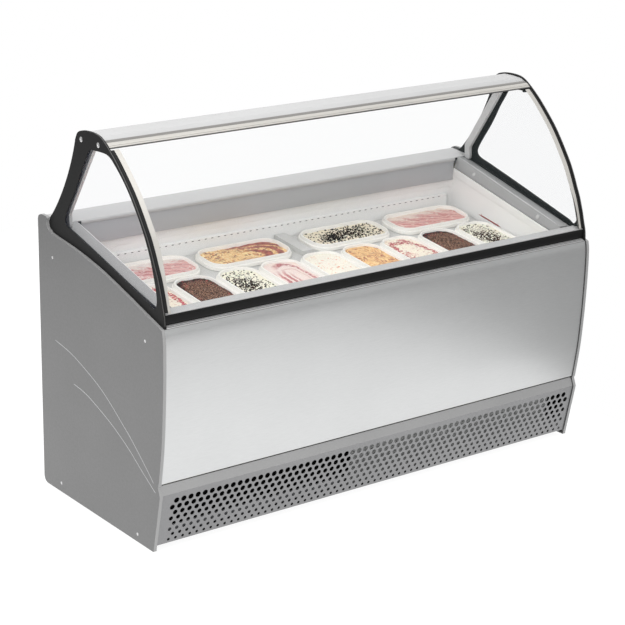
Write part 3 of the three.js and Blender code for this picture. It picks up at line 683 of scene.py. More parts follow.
# plain strips above and below the holes
for s0, s1 in ((-43.0, -30.66), (-30.66, 0.0), (LEN - 3.0, LEN), (LEN, LEN + 9.5)):
    for x0, x1 in zip(xs, xs[1:], strict=False):
        bm.faces.new((kv(x0, s0), kv(x1, s0), kv(x1, s1), kv(x0, s1)))
for i, (sc, dia) in enumerate(zip(ROWS, DIAS, strict=True)):
    s0, s1 = edges_s[i], edges_s[i + 1]
    odd = i % 2
    lo = -62 if odd == 0 else -63
    cols = range(lo, -lo + 1, 2)
    first, last = MID + (lo - 1) * half, MID + (-lo + 1) * half
    # solid margins at both ends
    for seq in ([x for x in xs if x <= first + 1e-6], [x for x in xs if x >= last - 1e-6]):
        loop = [kv(x, s0) for x in seq] + [kv(x, s1) for x in seq[::-1]]
        if seq[0] < 0:
            loop.insert(len(seq), kv(first, sc))
        else:
            loop.append(kv(last, sc))
        bm.faces.new(loop)
    for k in cols:
        xc = MID + k * half
        b = [
            kv(xc + half, sc), kv(xc + half, s1), kv(xc, s1), kv(xc - half, s1),
            kv(xc - half, sc), kv(xc - half, s0), kv(xc, s0), kv(xc + half, s0),
        ]
        c = [
            kv(xc + dia / 2 * math.cos(2 * math.pi * j / 24), sc + dia / 2 * math.sin(2 * math.pi * j / 24))
            for j in range(24)
        ]
        for j in range(8):
            bm.faces.new((b[j], b[(j + 1) % 8], c[(3 * j + 3) % 24], c[3 * j + 2], c[3 * j + 1], c[3 * j]))
for f in bm.faces:
    f.normal_update()
    if f.normal.y > 0 or (abs(f.normal.y) < 1e-6 and f.normal.z < 0 and f.calc_center_median().z > 0.1):
        f.normal_flip()
mesh = bpy.data.meshes.new("kick")
bm.to_mesh(mesh)
bm.free()
o = bpy.data.objects.new("t", mesh)
bpy.context.scene.collection.objects.link(o)
m = o.modifiers.new("s", "SOLIDIFY")
m.thickness, m.offset, m.use_even_offset = 0.0018, -1.0, True
mesh = bpy.data.meshes.new_from_object(o.evaluated_get(bpy.context.evaluated_depsgraph_get()))
bpy.data.objects.remove(o)
mesh.set_sharp_from_angle(angle=math.radians(30))
for p in mesh.polygons:
    p.use_smooth = True
# the faces of the upper fold take a lighter grey than the perforated face: painted light, for the fold lit from above
for p in mesh.polygons:
    if p.center[2] > (188.6 + 6) / 1000.0:
        p.material_index = 1
link("kick_grille_v", mesh, [M["kick"], M["strip"]], "cabinet", slot="panel_grey", stands_for="kick_grille")

# near-black sheet behind the intake where there is no baffle: painted shade, so the holes read dark
prism("intake_shade_sheet", [(8, 206), (26, 206), (38, 30), (43, 3), (40.6, 3), (36, 28), (6, 204)], -826, 826, M["dark"], slot="machine_black")

# near-black strips behind the seam of the rear panel and behind the rear grille: painted shade, so the seam and the
# grille read dark
prism("rear_seam_shade_strip", [(628, 223), (636.4, 223), (636.4, 231.4), (628, 231.4)], -822, 822, M["dark"], slot="machine_black")
prism("rear_grille_shade_sheet", [(630, 52), (634, 52), (634, 168), (630, 168)], -712, 560, M["dark"], slot="machine_black")

# trims along the front edge of the well
prism("front_trim_lip_v", [(-48, 706.6), (-48, 709.5), (-43, 709.5), (-43, 712), (-39, 712), (-39, 714.2), (-26, 714.2), (-26, 706.6)], -FRAME_IN + GAP, FRAME_IN - GAP, M["front_lip"], slot="bright_trim", stands_for="front_trim_lip", bevel=0.35)
for i, (y, z) in enumerate(((-48.3, 706.2), (-43.3, 709.55), (-39.3, 712.05))):
    prism(f"front_lip_shadow_{i + 1}", [(y, z), (y, z + 1.7), (y + 2, z + 1.7), (y + 2, z)], -FRAME_IN + GAP, FRAME_IN - GAP, M["lip_line"], slot="bright_trim", bevel=0.15)
prism("bumper_strip_v", fillet([(-36, 714.8), (-39.5, 718), (-41, 724), (-41, 738), (-39.5, 743), (-37, 744.6), (-24, 744.6), (-24, 714.8)], 3), -FRAME_IN + GAP, FRAME_IN - GAP, M["bumper"], slot="bumper_black", stands_for="bumper_strip", bevel=0.3)
prism("front_rail_v", fillet([(-38, 745.2), (-38, 748), (8, 748), (14, 744), (14, 719.5), (11, 719.5), (11, 742), (-23, 742), (-23, 745.2)], 0.9, 2), -FRAME_IN + GAP, FRAME_IN - GAP, M["rail"], slot="rail_grey", stands_for="front_rail", bevel=0.3)

# ------------------------------------------------------------------ lift-up curved glass
glass_arc = catmull([(-42, 749), (-36, 768), (-27, 799), (-18, 825), (-8, 851), (5, 877), (21.5, 912), (41.5, 949), (66, 985), (92, 1020.5), (121, 1056.5), (154, 1091), (191, 1126), (214, 1146), (236, 1163), (257, 1178)], 73)


def arc_off(d, z0, y1):
    out = []
    for i, p in enumerate(glass_arc):
        a, b = np.array(glass_arc[max(0, i - 1)]), np.array(glass_arc[min(len(glass_arc) - 1, i + 1)])
        t = (b - a) / np.linalg.norm(b - a)
        q = (p[0] + t[1] * d, p[1] - t[0] * d)
        if q[1] >= z0 - 0.01 and q[0] <= y1:
            out.append(q)
    return out


def band(d0, d1, y1):
    a, b = arc_off(d0, 749, y1), arc_off(d1, 700, y1)
    b[0] = (b[0][0], 749)
    return a + b[::-1]


prism("front_pane", band(1.5, 7.5, 246), -804, 804, M["glass"], "lift_glass", slot="clear_glass", stands_for="front_glass", bevel=0.5)
for side, s in (("left", -1), ("right", 1)):
    span = (lambda a, b: (a, b)) if s > 0 else (lambda a, b: (-b, -a))

    def narrowing(x, y, z):
        """The bright strip tapers where the pane turns upright."""
        if abs(x) < 800:
            t = min(max((930 - z) / 150.0, 0.0), 1.0)
            x += math.copysign(9.0 * t * t * (3 - 2 * t), x)
        return x, y, z

    prism(side + "_glass_trim_v", band(0.3, 1.35, 246), *span(794, 811.5), M["bright"], "lift_glass", slot="bright_trim", stands_for=side + "_glass_trim", bevel=0.3, lift=narrowing)
    prism(side + "_glass_trim_web", band(1.5, 10.8, 246), *span(804.6, 811.5), M["lip"], "lift_glass", slot="bright_trim", bevel=0.6)
    prism(side + "_glass_seal", band(1.2, 10.4, 246), *span(812.0, 821.2), M["gasket"], "lift_glass", slot="brushed_trim", bevel=0.8)
for side, s in (("left", -1), ("right", 1)):
    a, b = arc_off(8.6, 1156, 256), arc_off(13, 1156, 256)
    prism(side + "_glass_clamp", a + b[::-1], *((s * 811, s * 790) if s < 0 else (790, 811)), M["black"], "lift_glass", slot="brushed_trim", bevel=1.0)
for name, line, mat, slot in (
    ("glass_hinge_profile_v", [(257.3, 1177.9), (268, 1184.9), (268.4, 1178), (264, 1170), (257.3, 1168.5)], "bright", "bright_trim"),
    ("glass_hinge_seat", [(251.9, 1173.7), (256.9, 1177.1), (257, 1169.5), (255.6, 1169.5)], "bright", "brushed_trim"),
    ("glass_hinge_lip", [(248.2, 1171.2), (251.6, 1173.5), (252.6, 1171.2), (250.2, 1169.2)], "lip", "brushed_trim"),
    ("glass_hinge_cover", [(268.6, 1184.4), (279, 1189.8), (280, 1186), (279, 1177), (270, 1169), (268.7, 1170)], "brush", "brushed_trim"),
):
    prism(name, fillet(line, 0.8, 3), -821.2, 821.2, M[mat], "lift_glass", slot=slot, bevel=0.3, **({"stands_for": "glass_hinge_profile"} if name == "glass_hinge_profile_v" else {}))

# ------------------------------------------------------------------ canopy
XE = FRAME_IN - GAP
prism("canopy_nose_v", fillet([(281.5, 1164), (281.5, 1188.5), (296, 1195), (300.5, 1195.6), (300.5, 1192.6), (297, 1192), (284.5, 1186.6), (284.5, 1164)], 1.6, 3), -XE, XE, M["canopy"], slot="brushed_trim", stands_for="canopy_nose", bevel=0.3)
prism("top_canopy_v", fillet([(301, 1192.6), (301, 1195.8), (340, 1198), (378, 1197), (387, 1193), (389, 1186), (389, 1158), (350, 1158), (350, 1161), (386, 1161), (386, 1185), (376.5, 1193.8), (340, 1194.8)], 2.2, 3), -XE, XE, M["canopy"], slot="canopy_white", stands_for="top_canopy", bevel=0.3)
prism("led_lamp_v", fillet([(286, 1167), (290, 1161.5), (342, 1161.5), (346, 1167), (346, 1180), (286, 1180)], 3, 4), -808, 808, M["lamp"], slot="lamp_white", stands_for="led_lamp", bevel=0.8)

RIM0, SLOPE = 719.8, 0.2275
POST_Z = RIM0 + SLOPE * 512 + 33.6
post = [(512, POST_Z), (514, 914), (354, 1157.5), (388, 1157.5), (540, 922), (538, POST_Z + 26 * (SLOPE + 0.015))]
for side, s in (("left", -1), ("right", 1)):
    x0, x1 = (-808.5, -797) if s < 0 else (797, 808.5)
    prism(side + "_rear_post_v", fillet(post, 9, 6), x0, x1, M["post"], slot="brushed_trim", stands_for=side + "_rear_post", bevel=1.6)

# ------------------------------------------------------------------ service ledge, riser, side sills
ledge = fillet([(537, 875), (540, 879), (600, 884), (632, 887), (641, 884), (643.5, 878), (643.5, 864), (641, 864), (641, 877), (631, 883.5), (600, 881), (540, 876), (540, 868), (537, 868)], 2.0, 3)
ledge_end = fillet([(541.3, 879.1), (600, 884), (632, 887), (641, 884), (643.5, 878), (643.5, 864), (641, 864), (641, 877), (631, 883.5), (600, 881), (541.3, 876.1)], 1.6, 3)
bm = bmesh.new()
prism_bm(bm, ledge, -752.4, 752.4)
mesh = bevelled(finish_mesh(bm, "ledge"), 0.0004)
link("rear_worktop_v", mesh, M["ledge"], "cabinet", slot="canopy_white", stands_for="rear_worktop")
prism("rear_worktop_ends", ledge_end, (-XE, 752.4), (-752.4, XE), M["ledge"], slot="canopy_white", bevel=0.4)
prism("rear_riser_v", fillet([(541, 800.5), (541, 875.4), (543.5, 875.4), (543.5, 803), (570, 803), (570, 800.5)], 0.8, 2), -751, 751, M["riser"], slot="trim_grey", stands_for="rear_riser", bevel=0.25)

SECTION = [(752.5, 0.8, 0), (769, 33.5, 0.022), (808.5, 28, 0.012), (808.5, 24.5, 0.012), (771, 29.5, 0.022), (757.5, 3, 0), (757.5, 0.8, 0)]
for side, s in (("left", -1), ("right", 1)):
    bm = bmesh.new()
    rings = []
    for y in (15.0, 540.4):
        line = fillet([(x, dz) for x, dz, _ in SECTION], 2.4, 4)

        def extra(x, dz):
            w = min(max((dz - 3) / 30.0, 0), 1)
            return w * (0.022 if x < 785 else 0.012)

        rings.append([bm.verts.new(P(s * x, y, RIM0 + dz + SLOPE * y + extra(x, dz) * (y - 300))) for x, dz in line])
    n = len(rings[0])
    for i in range(n):
        bm.faces.new((rings[0][i], rings[0][(i + 1) % n], rings[1][(i + 1) % n], rings[1][i]))
    bm.faces.new(rings[0])
    bm.faces.new(rings[1])
    link(side + "_inner_trim_v", bevelled(finish_mesh(bm, "trim"), 0.0003), M["grey"], "cabinet", slot="trim_grey", stands_for=side + "_inner_trim")
    # two round caps on the steep face
    bm = bmesh.new()
    for y, z in ((444, 838), (116, 762)):
        dz = z - RIM0 - SLOPE * y
        x = 752.5 + 16.5 * (dz - 0.8) / 32.7
        nrm = Vector((-s * 32.7, 0, 16.5)).normalized()
        revolve_bm(bm, [(0, -0.002), (0.0072, -0.002), (0.0074, 0.0006), (0.0064, 0.0013), (0.003, 0.0017), (0, 0.0018)], P(s * x, y, z), nrm, 24)
    link(side + "_trim_caps", finish_mesh(bm, "caps", 40), M["cap"], "cabinet", slot="trim_grey")


# ------------------------------------------------------------------ well liner and air duct
def rounded(x0, x1, y0, y1, r, n=8):
    """Rounded rectangle, counter-clockwise; each corner has n + 1 points."""
    out = []
    for sx, sy, a0 in ((1, 1, 0), (-1, 1, 90), (-1, -1, 180), (1, -1, 270)):
        cx = (x1 - r) if sx > 0 else (x0 + r)
        cy = (y1 - r) if sy > 0 else (y0 + r)
        for i in range(n + 1):
            a = math.radians(a0 + 90 * i / n)
            out.append((cx + r * math.cos(a), cy + r * math.sin(a)))
    return out


def loft(rings, bm=None):
    own = bm is None
    bm = bm or bmesh.new()
    vs = [[bm.verts.new(P(*p)) for p in ring] for ring in rings]
    n = len(vs[0])
    for r0, r1 in zip(vs, vs[1:], strict=False):
        for i in range(n):
            bm.faces.new((r0[i], r0[(i + 1) % n], r1[(i + 1) % n], r1[i]))
    bm.faces.new(vs[0])
    bm.faces.new(vs[-1])
    return bm if own else None


def well_top(y):
    return RIM0 + SLOPE * y if y <= 541 else 799.6


def ring_at(x, y0, y1, r, drop=None, z=None):
    return [(px, py, (well_top(py) - drop) if z is None else z) for px, py in rounded(-x, x, y0, y1, r)]


rings = [
    ring_at(762, 17, 569, 24, z=380),
    ring_at(764, 15, 571, 24, z=383),
    ring_at(764, 15, 571, 24, drop=0.9),
    ring_at(763.2, 15.4, 570.4, 24, drop=0.1),
    ring_at(752.2, 17.2, 557.4, 18, drop=0.1),
    ring_at(750.6, 18.4, 556.4, 17, drop=1.2),
    ring_at(750.2, 18.7, 556.0, 17, drop=26),
    ring_at(750.6, 18.4, 556.4, 17, drop=27.4),
    ring_at(752, 18, 558, 18, drop=28.0),
    ring_at(752, 18, 558, 18, drop=70),
    ring_at(752, 18, 558, 18, z=400),
    ring_at(750, 20, 556, 18, z=391),
    ring_at(744, 26, 550, 18, z=385),
    ring_at(735, 35, 541, 18, z=383),
]
link("tank_liner_v", finish_mesh(loft(rings), "liner", 30), M["liner"], "cabinet", slot="liner_white", stands_for="tank_liner")

bm = bmesh.new()
cache = {}


def dv(x, s):
    """Vertex of the duct sheet: s is its height in mm, above 749 on the fold back to the wall."""
    key = (round(x, 3), round(s, 3))
    if key not in cache:
        y, z = (545.0, s) if s <= 749 else (545.0 + (s - 749) * 0.952, 749.0 + (s - 749) * 0.305)
        cache[key] = bm.verts.new(P(x, y, z))
    return cache[key]


DP = 25.2
cells = [(-28 + 0.5 + k) * DP for k in range(56)]
xs = [-728.0] + [(-28 + k) * DP for k in range(57)] + [728.0]
mids = sorted(xs + cells)
for s0, s1 in ((590, 742.2), (748.6, 749.0), (749.0, 762.2)):
    for x0, x1 in zip(mids, mids[1:], strict=False):
        bm.faces.new((dv(x0, s0), dv(x1, s0), dv(x1, s1), dv(x0, s1)))
for a, b in ((xs[0], xs[1]), (xs[-2], xs[-1])):
    loop = [dv(a, 742.2), dv(b, 742.2), dv(b, 748.6), dv(a, 748.6)]
    loop.insert(2 if b == xs[1] else 4, dv(b if b == xs[1] else a, 745.4))
    bm.faces.new(loop)
for xc in cells:
    b = [dv(xc + DP / 2, 745.4), dv(xc + DP / 2, 748.6), dv(xc, 748.6), dv(xc - DP / 2, 748.6), dv(xc - DP / 2, 745.4), dv(xc - DP / 2, 742.2), dv(xc, 742.2), dv(xc + DP / 2, 742.2)]
    c = []
    for j in range(16):
        t = 2 * math.pi * j / 16
        cx, sx = math.cos(t), math.sin(t)
        c.append(dv(xc + 4.6 * math.copysign(abs(cx) ** 0.45, cx), 745.4 + 1.35 * math.copysign(abs(sx) ** 0.6, sx)))
    for j in range(8):
        bm.faces.new((b[j], b[(j + 1) % 8], c[(2 * j + 2) % 16], c[2 * j + 1], c[2 * j]))
for f in bm.faces:
    f.normal_update()
    if f.normal.y > 0 or f.normal.z < -0.5:
        f.normal_flip()
mesh = bpy.data.meshes.new("duct")
bm.to_mesh(mesh)
bm.free()
o = bpy.data.objects.new("t", mesh)
bpy.context.scene.collection.objects.link(o)
m = o.modifiers.new("s", "SOLIDIFY")
m.thickness, m.offset = 0.0015, -1.0
mesh = bpy.data.meshes.new_from_object(o.evaluated_get(bpy.context.evaluated_depsgraph_get()))
bpy.data.objects.remove(o)
mesh.set_sharp_from_angle(angle=math.radians(30))
link("air_duct_v", mesh, M["liner"], "cabinet", slot="liner_white", stands_for="air_duct")
# a near-black sheet behind the slots of the duct: painted shade, so the slots read dark
prism("duct_slot_shade_sheet", [(547.4, 738), (549, 738), (549, 747.6), (547.4, 747.6)], -724, 724, M["dark"], slot="machine_black", bevel=0.2)

# a lighter strip along the top of each side wall, and a thin bright bead along the ridge of each sill: painted
# highlights where the wall's top band and the ridge catch the light
for side, s in (("left", -1), ("right", 1)):
    bm = bmesh.new()
    rings = []
    for y in (24.0, 540.0):
        z = RIM0 + SLOPE * y
        rings.append([bm.verts.new(P(s * x, y, z + d)) for x, d in ((751.9, -1.2), (751.9, -21), (751.5, -21), (751.2, -20.2), (751.2, -2), (751.5, -1.2))])
    for i in range(6):
        bm.faces.new((rings[0][i], rings[0][(i + 1) % 6], rings[1][(i + 1) % 6], rings[1][i]))
    bm.faces.new(rings[0])
    bm.faces.new(rings[1])
    link(side + "_liner_highlight_band", finish_mesh(bm, "band"), M["band"], "cabinet", slot="liner_white")
    bm = bmesh.new()
    line = [P(s * 769.6, y, RIM0 + 33.6 + SLOPE * y + 0.022 * (y - 300)) for y in range(20, 538, 12)]
    sweep_bm(bm, line, 0.0016, 0.0003, (0, 0, 1))
    link(side + "_trim_ridge_highlight", finish_mesh(bm, "ridge_highlight", 60), M["band"], "cabinet", slot="trim_grey")

# load-limit line on the right wall
bm = bmesh.new()
X = 751.95
sweep_bm(bm, [P(X, *q) for q in catmull([(404, 706.5), (341, 696), (279, 685)], 24)], 0.0058, 0.0005, (-1, 0, 0))
for y, z in ((384, 704), (300, 689.5)):
    sweep_bm(bm, [P(X, y, z + d) for d in (0, 2, 4, 6, 8, 10)], 0.0052, 0.0005, (-1, 0, 0))
link("load_limit_line", finish_mesh(bm, "load", 60), M["red"], "cabinet", slot="liner_white")


# ------------------------------------------------------------------ tubs
from mathutils import noise as mnoise

TILT = math.radians(6.5)


def rim_z(y):
    return 704.5 + (y - 361) * math.tan(TILT)


def tilted(cx, cy):
    c, s = math.cos(TILT), math.sin(TILT)

    def f(x, y, z):
        return (cx + x, cy + y * c - z * s, rim_z(cy) + y * s + z * c)

    return f


PAN = [
    (26, -118, 0), (22, -117.4, 0), (16, -112, 0), (13.5, -104, 0), (8.6, -29, 0), (8.2, -22.2, 0), (1.2, -22.0, 0), (0.1, -21.2, 0), (0, -12.4, 0), (0.7, -10.9, 0),
    (4.2, -9.9, 0), (5.0, -9.0, 0), (6.0, -1.6, 0), (6.7, -0.4, 0), (7.9, 0, 0), (10.4, 0, 0), (11.6, -0.5, 0), (12.4, -1.7, 0), (15.6, -20, 0), (19, -60, 0), (23, -100, 0), (27, -110, 0), (34, -114, 0),
]


def pan(name, cx, cy, lx, ly):
    f = tilted(cx, cy)
    rings = []
    for i, z, _ in PAN:
        r = max(57 - i, 14)
        rings.append([f(x, y, z) for x, y in rounded(-lx / 2 + i, lx / 2 - i, -ly / 2 + i, ly / 2 - i, r, 12)])
    link(name + "_pan", finish_mesh(loft(rings), name, 28), M["tub"], name, slot="tub_white", stands_for=name)


def resample(loop, n):
    pts = [np.array(p, float) for p in loop] + [np.array(loop[0], float)]
    seg = [np.linalg.norm(b - a) for a, b in zip(pts, pts[1:], strict=False)]
    cum = np.concatenate([[0], np.cumsum(seg)])
    out = []
    for k in range(n):
        d = cum[-1] * k / n
        i = int(np.searchsorted(cum, d, side="right")) - 1
        i = min(i, len(seg) - 1)
        t = (d - cum[i]) / seg[i] if seg[i] > 0 else 0
        out.append(tuple(pts[i] * (1 - t) + pts[i + 1] * t))
    return out


INNER = 12.9


def surface(lx, ly, level, dome, rough, fine, seed, waves=0.0):
    """Height of the frozen surface over the pan, and the function that gives it."""
    off = Vector((seed * 3.17, seed * 1.91, seed * 0.77))
    W = min(lx, ly) / 2 - INNER

    def h(x, y, t):
        p = Vector((x, y, 0.0))
        v = level + dome * (1 - t * t)
        v += rough * mnoise.fractal(p / 34.0 + off, 1.0, 2.0, 3)
        v += fine * mnoise.fractal(p / 5.5 + off * 2, 0.8, 2.0, 3)
        if waves:
            q = x if ly > lx else y
            v += waves * math.sin(q / 9.0 + 2.4 * mnoise.noise(p / 40.0 + off)) * (1 - t**4)
        return min(v, -1.2)

    return h, W


def filling(name, cx, cy, lx, ly, mat, level=-12.0, dome=3.0, rough=2.2, fine=0.5, seed=1, waves=0.0, nseg=190, nring=34):
    f = tilted(cx, cy)
    i = INNER + 0.3
    outline = resample(rounded(-lx / 2 + i, lx / 2 - i, -ly / 2 + i, ly / 2 - i, 60 - i, 12), nseg)
    core = abs(lx - ly) / 2
    h, _ = surface(lx, ly, level, dome, rough, fine, seed, waves)
    bm = bmesh.new()
    rings = []
    for k in range(nring + 1):
        t = 1 - k / nring
        ring = []
        for x, y in outline:
            sx, sy = (max(-core, min(core, x)), 0.0) if lx > ly else (0.0, max(-core, min(core, y)))
            px, py = sx + (x - sx) * t, sy + (y - sy) * t
            ring.append(bm.verts.new(P(*f(px, py, h(px, py, t)))))
        rings.append(ring)
    low = [[bm.verts.new(P(*f(x * k, y * k, z))) for x, y in outline] for k, z in ((0.985, -60.0), (0.93, -106.0))]
    order = low[::-1] + rings
    n = len(outline)
    for r0, r1 in zip(order, order[1:], strict=False):
        for j in range(n):
            bm.faces.new((r0[j], r0[(j + 1) % n], r1[(j + 1) % n], r1[j]))
    bm.faces.new(low[-1])
    bmesh.ops.remove_doubles(bm, verts=rings[-1], dist=0.00012)
    bmesh.ops.dissolve_degenerate(bm, edges=bm.edges, dist=1e-7)
    link(name + "_ice_cream", finish_mesh(bm, name, 50), mat, name, slot="tub_white")
    return h, f


def chips(name, cx, cy, h, f, count, density, mat, seed, size=(2.2, 5.2), lx=155, ly=326):
    """Flakes lying on the frozen surface, thicker where density(u, v) is high."""
    rnd = random.Random(seed)
    bm = bmesh.new()
    placed = 0
    tries = 0
    while placed < count and tries < count * 60:
        tries += 1
        u, v = rnd.uniform(-1, 1), rnd.uniform(-1, 1)
        if rnd.random() > density(u, v):
            continue
        x, y = u * (lx / 2 - INNER - 5), v * (ly / 2 - INNER - 5)
        # keep clear of the rounded corners
        r = 57 - INNER - 5
        ex, ey = abs(x) - (lx / 2 - INNER - 5 - r), abs(y) - (ly / 2 - INNER - 5 - r)
        if ex > 0 and ey > 0 and math.hypot(ex, ey) > r:
            continue
        a = rnd.uniform(0, math.pi)
        sa, sb, sc = rnd.uniform(*size) / 2, rnd.uniform(size[0] * 0.7, size[1] * 0.75) / 2, rnd.uniform(0.9, 2.0)
        z = h(x, y, math.sqrt(max(0.0, max(abs(u), abs(v))))) + rnd.uniform(0.0, 0.5)
        tx, ty = rnd.uniform(-0.35, 0.35), rnd.uniform(-0.35, 0.35)
        k = 6
        tops, bots = [], []
        for j in range(k):
            th = 2 * math.pi * j / k
            rr = rnd.uniform(0.75, 1.1)
            dx, dy = sa * rr * math.cos(th), sb * rr * math.sin(th)
            qx, qy = dx * math.cos(a) - dy * math.sin(a), dx * math.sin(a) + dy * math.cos(a)
            zz = z + qx * tx + qy * ty
            tops.append(bm.verts.new(P(*f(x + qx * 0.85, y + qy * 0.85, zz + sc))))
            bots.append(bm.verts.new(P(*f(x + qx, y + qy, zz - 0.8))))
        bm.faces.new(tops)
        bm.faces.new(bots[::-1])
        for j in range(k):
            bm.faces.new((bots[j], bots[(j + 1) % k], tops[(j + 1) % k], tops[j]))
        placed += 1
    link(name, finish_mesh(bm, name, 25), mat, name.rsplit("_flakes", 1)[0], slot="tub_white")


class Ice(Mat):
    """Frozen dessert: local coordinates run from -1 to 1 across the tub, u along X and v along Y."""

    def __init__(self, name, cx, cy, lx, ly, rough=0.5, sss=0.25):
        super().__init__(name)
        self.b.inputs["Subsurface Weight"].default_value = sss
        self.b.inputs["Subsurface Radius"].default_value = (0.004, 0.0028, 0.002)
        self.b.inputs["Roughness"].default_value = rough
        self.tc = self.node("ShaderNodeTexCoord")
        mp = self.node("ShaderNodeMapping")
        s = (2000.0 / (lx - 34), 2000.0 / (ly - 34), 1.0)
        c = P(cx, cy, 0)
        mp.inputs["Scale"].default_value = s
        mp.inputs["Location"].default_value = (-c[0] * s[0], -c[1] * s[1], 0)
        self.wire(self.tc.outputs["Object"], mp.inputs["Vector"])
        self.uv = mp.outputs["Vector"]
        self.cx, self.cy = c[0], c[1]

    def split(self, vec):
        n = self.node("ShaderNodeSeparateXYZ")
        self.wire(vec, n.inputs[0])
        return n.outputs[0], n.outputs[1]

    def warp(self, vec, scale, amp, seed=0.0):
        """vec pushed about by noise of that scale, in metres of the real surface."""
        n = self.node("ShaderNodeTexNoise")
        n.inputs["Scale"].default_value = scale
        n.inputs["Detail"].default_value = 2.5
        mp = self.node("ShaderNodeMapping")
        mp.inputs["Location"].default_value = (seed, seed * 0.7, seed * 0.3)
        self.wire(self.tc.outputs["Object"], mp.inputs["Vector"])
        self.wire(mp.outputs["Vector"], n.inputs["Vector"])
        sub = self.node("ShaderNodeVectorMath", operation="SUBTRACT")
        sub.inputs[1].default_value = (0.5, 0.5, 0.5)
        self.wire(n.outputs["Color"], sub.inputs[0])
        sc = self.node("ShaderNodeVectorMath", operation="SCALE")
        sc.inputs["Scale"].default_value = amp
        self.wire(sub.outputs[0], sc.inputs[0])
        add = self.node("ShaderNodeVectorMath", operation="ADD")
        self.wire(vec, add.inputs[0])
        self.wire(sc.outputs[0], add.inputs[1])
        return add.outputs[0]

    def wave(self, vec, scale, distortion=0.0, direction="X", detail=1.0, kind="BANDS"):
        n = self.node("ShaderNodeTexWave", wave_type=kind)
        if kind == "BANDS":
            n.bands_direction = direction
        n.inputs["Scale"].default_value = scale
        n.inputs["Distortion"].default_value = distortion
        n.inputs["Detail"].default_value = detail
        self.wire(vec, n.inputs["Vector"])
        return n.outputs["Fac"]

    def step(self, v, lo, hi):
        return self.remap(v, 0.0, 1.0, lo, hi)

    def edge(self, u, v, p=3.0):
        """Rounded distance from the middle: 0 in the middle, 1 at the wall."""
        a = self.math("POWER", self.math("ABSOLUTE", u, 0), p)
        b = self.math("POWER", self.math("ABSOLUTE", v, 0), p)
        return self.math("POWER", self.math("ADD", a, b), 1.0 / p)

    def finish(self, colour, grain=1.0):
        crystals = self.noise(420, detail=3)
        tone = self.ramp(crystals, (0.3, (0.92, 0.92, 0.92)), (0.7, (1.04, 1.04, 1.04)))
        self.color(self.mix(1.0, colour, tone, "MULTIPLY"))
        self.rough(self.remap(crystals, 0.42, 0.62, 0.3, 0.7))
        self.bump(crystals, 0.25 * grain, 0.0005)
        return self.m


FRONT_Y = 357 - 163 * math.cos(TILT)
TUBS = {}
for k in range(9):
    TUBS[f"tub_front_{k + 1}"] = ((k - 4) * 163.4, FRONT_Y, 155.0, 326.0)
for k, x in enumerate((-559.0, -204.0, 204.0, 559.0)):
    TUBS[f"tub_rear_{k + 1}"] = (x, 453.0, 325.0, 155.0)

CREAM = col(243, 236, 216)


def swirled(name, base, streak, deep, scale, amount, along="X", seed=0.0, edge_gain=0.35, contrast=0.12, sheet=1.0):
    """Base colour with broken patches of fruit, gathered in a ring near the walls."""
    cx, cy, lx, ly = TUBS[name]
    m = Ice(name + "_flavour", cx, cy, lx, ly)
    w = m.warp(m.uv, 12.0, 0.55, seed)
    u, v = m.split(w)
    r = m.edge(u, v, 2.6)
    ring = m.math("MULTIPLY", m.step(r, 0.62, 0.80), m.math("SUBTRACT", 1.0, m.step(r, 0.96, 1.06)))
    left = m.math("MULTIPLY", m.step(u, 0.05, -0.45), m.math("MULTIPLY", m.step(r, 0.25, 0.45), m.step(v, 0.45, 0.0)))
    where = m.math("MAXIMUM", m.math("MULTIPLY", ring, 0.62), m.math("MULTIPLY", left, 0.55))
    bits = m.math("ADD", m.math("MULTIPLY", m.math("SUBTRACT", m.noise(110, detail=2, rough=0.7), 0.5), 1.5), m.math("MULTIPLY", where, edge_gain))
    f = m.step(bits, 0.14, 0.14 + contrast)
    veins = m.step(m.wave(m.warp(m.uv, 16.0, 1.0, seed + 4), scale, 5.0, along, 3.0), 0.84, 0.98)
    f = m.math("MAXIMUM", f, m.math("MULTIPLY", veins, m.math("MULTIPLY", m.step(m.noise(30, detail=2), 0.5, 0.6), 0.6)))
    deepf = m.step(m.noise(140, detail=3), 0.42, 0.6)
    c = m.mix(m.math("MULTIPLY", f, sheet), base, m.mix(deepf, streak, deep))
    return m.finish(c)


def crumb(name):
    cx, cy, lx, ly = TUBS[name]
    m = Ice(name + "_flavour", cx, cy, lx, ly, rough=0.85, sss=0.0)
    m.b.inputs["Specular IOR Level"].default_value = 0.08
    g = m.noise(250, detail=1.2, rough=0.6)
    c = m.ramp(g, (0.42, col(40, 23, 18)), (0.48, col(86, 56, 45)), (0.53, col(112, 78, 62)), (0.58, col(164, 126, 104)))
    u, v = m.split(m.warp(m.uv, 60.0, 0.10))
    e = m.edge(u, v, 4.0)
    # darker along the walls, most on the far side: painted shade in the gap between the crumb and the tub wall
    far = m.step(m.math("SUBTRACT", v, m.math("MULTIPLY", u, 0.45)), 0.20, 0.70)
    c = m.mix(m.math("MULTIPLY", m.step(e, 0.86, 0.93), m.math("ADD", 0.35, m.math("MULTIPLY", far, 0.65))), c, m.ramp(g, (0.4, col(26, 17, 18)), (0.62, col(70, 44, 40))))
    red = m.math("GREATER_THAN", m.noise(170, detail=0.5), 0.66)
    c = m.mix(m.math("MULTIPLY", red, m.step(e, 0.60, 0.85)), c, col(168, 72, 74))
    m.bump(g, 0.9, 0.0018)
    return m.finish(c, 0.6)


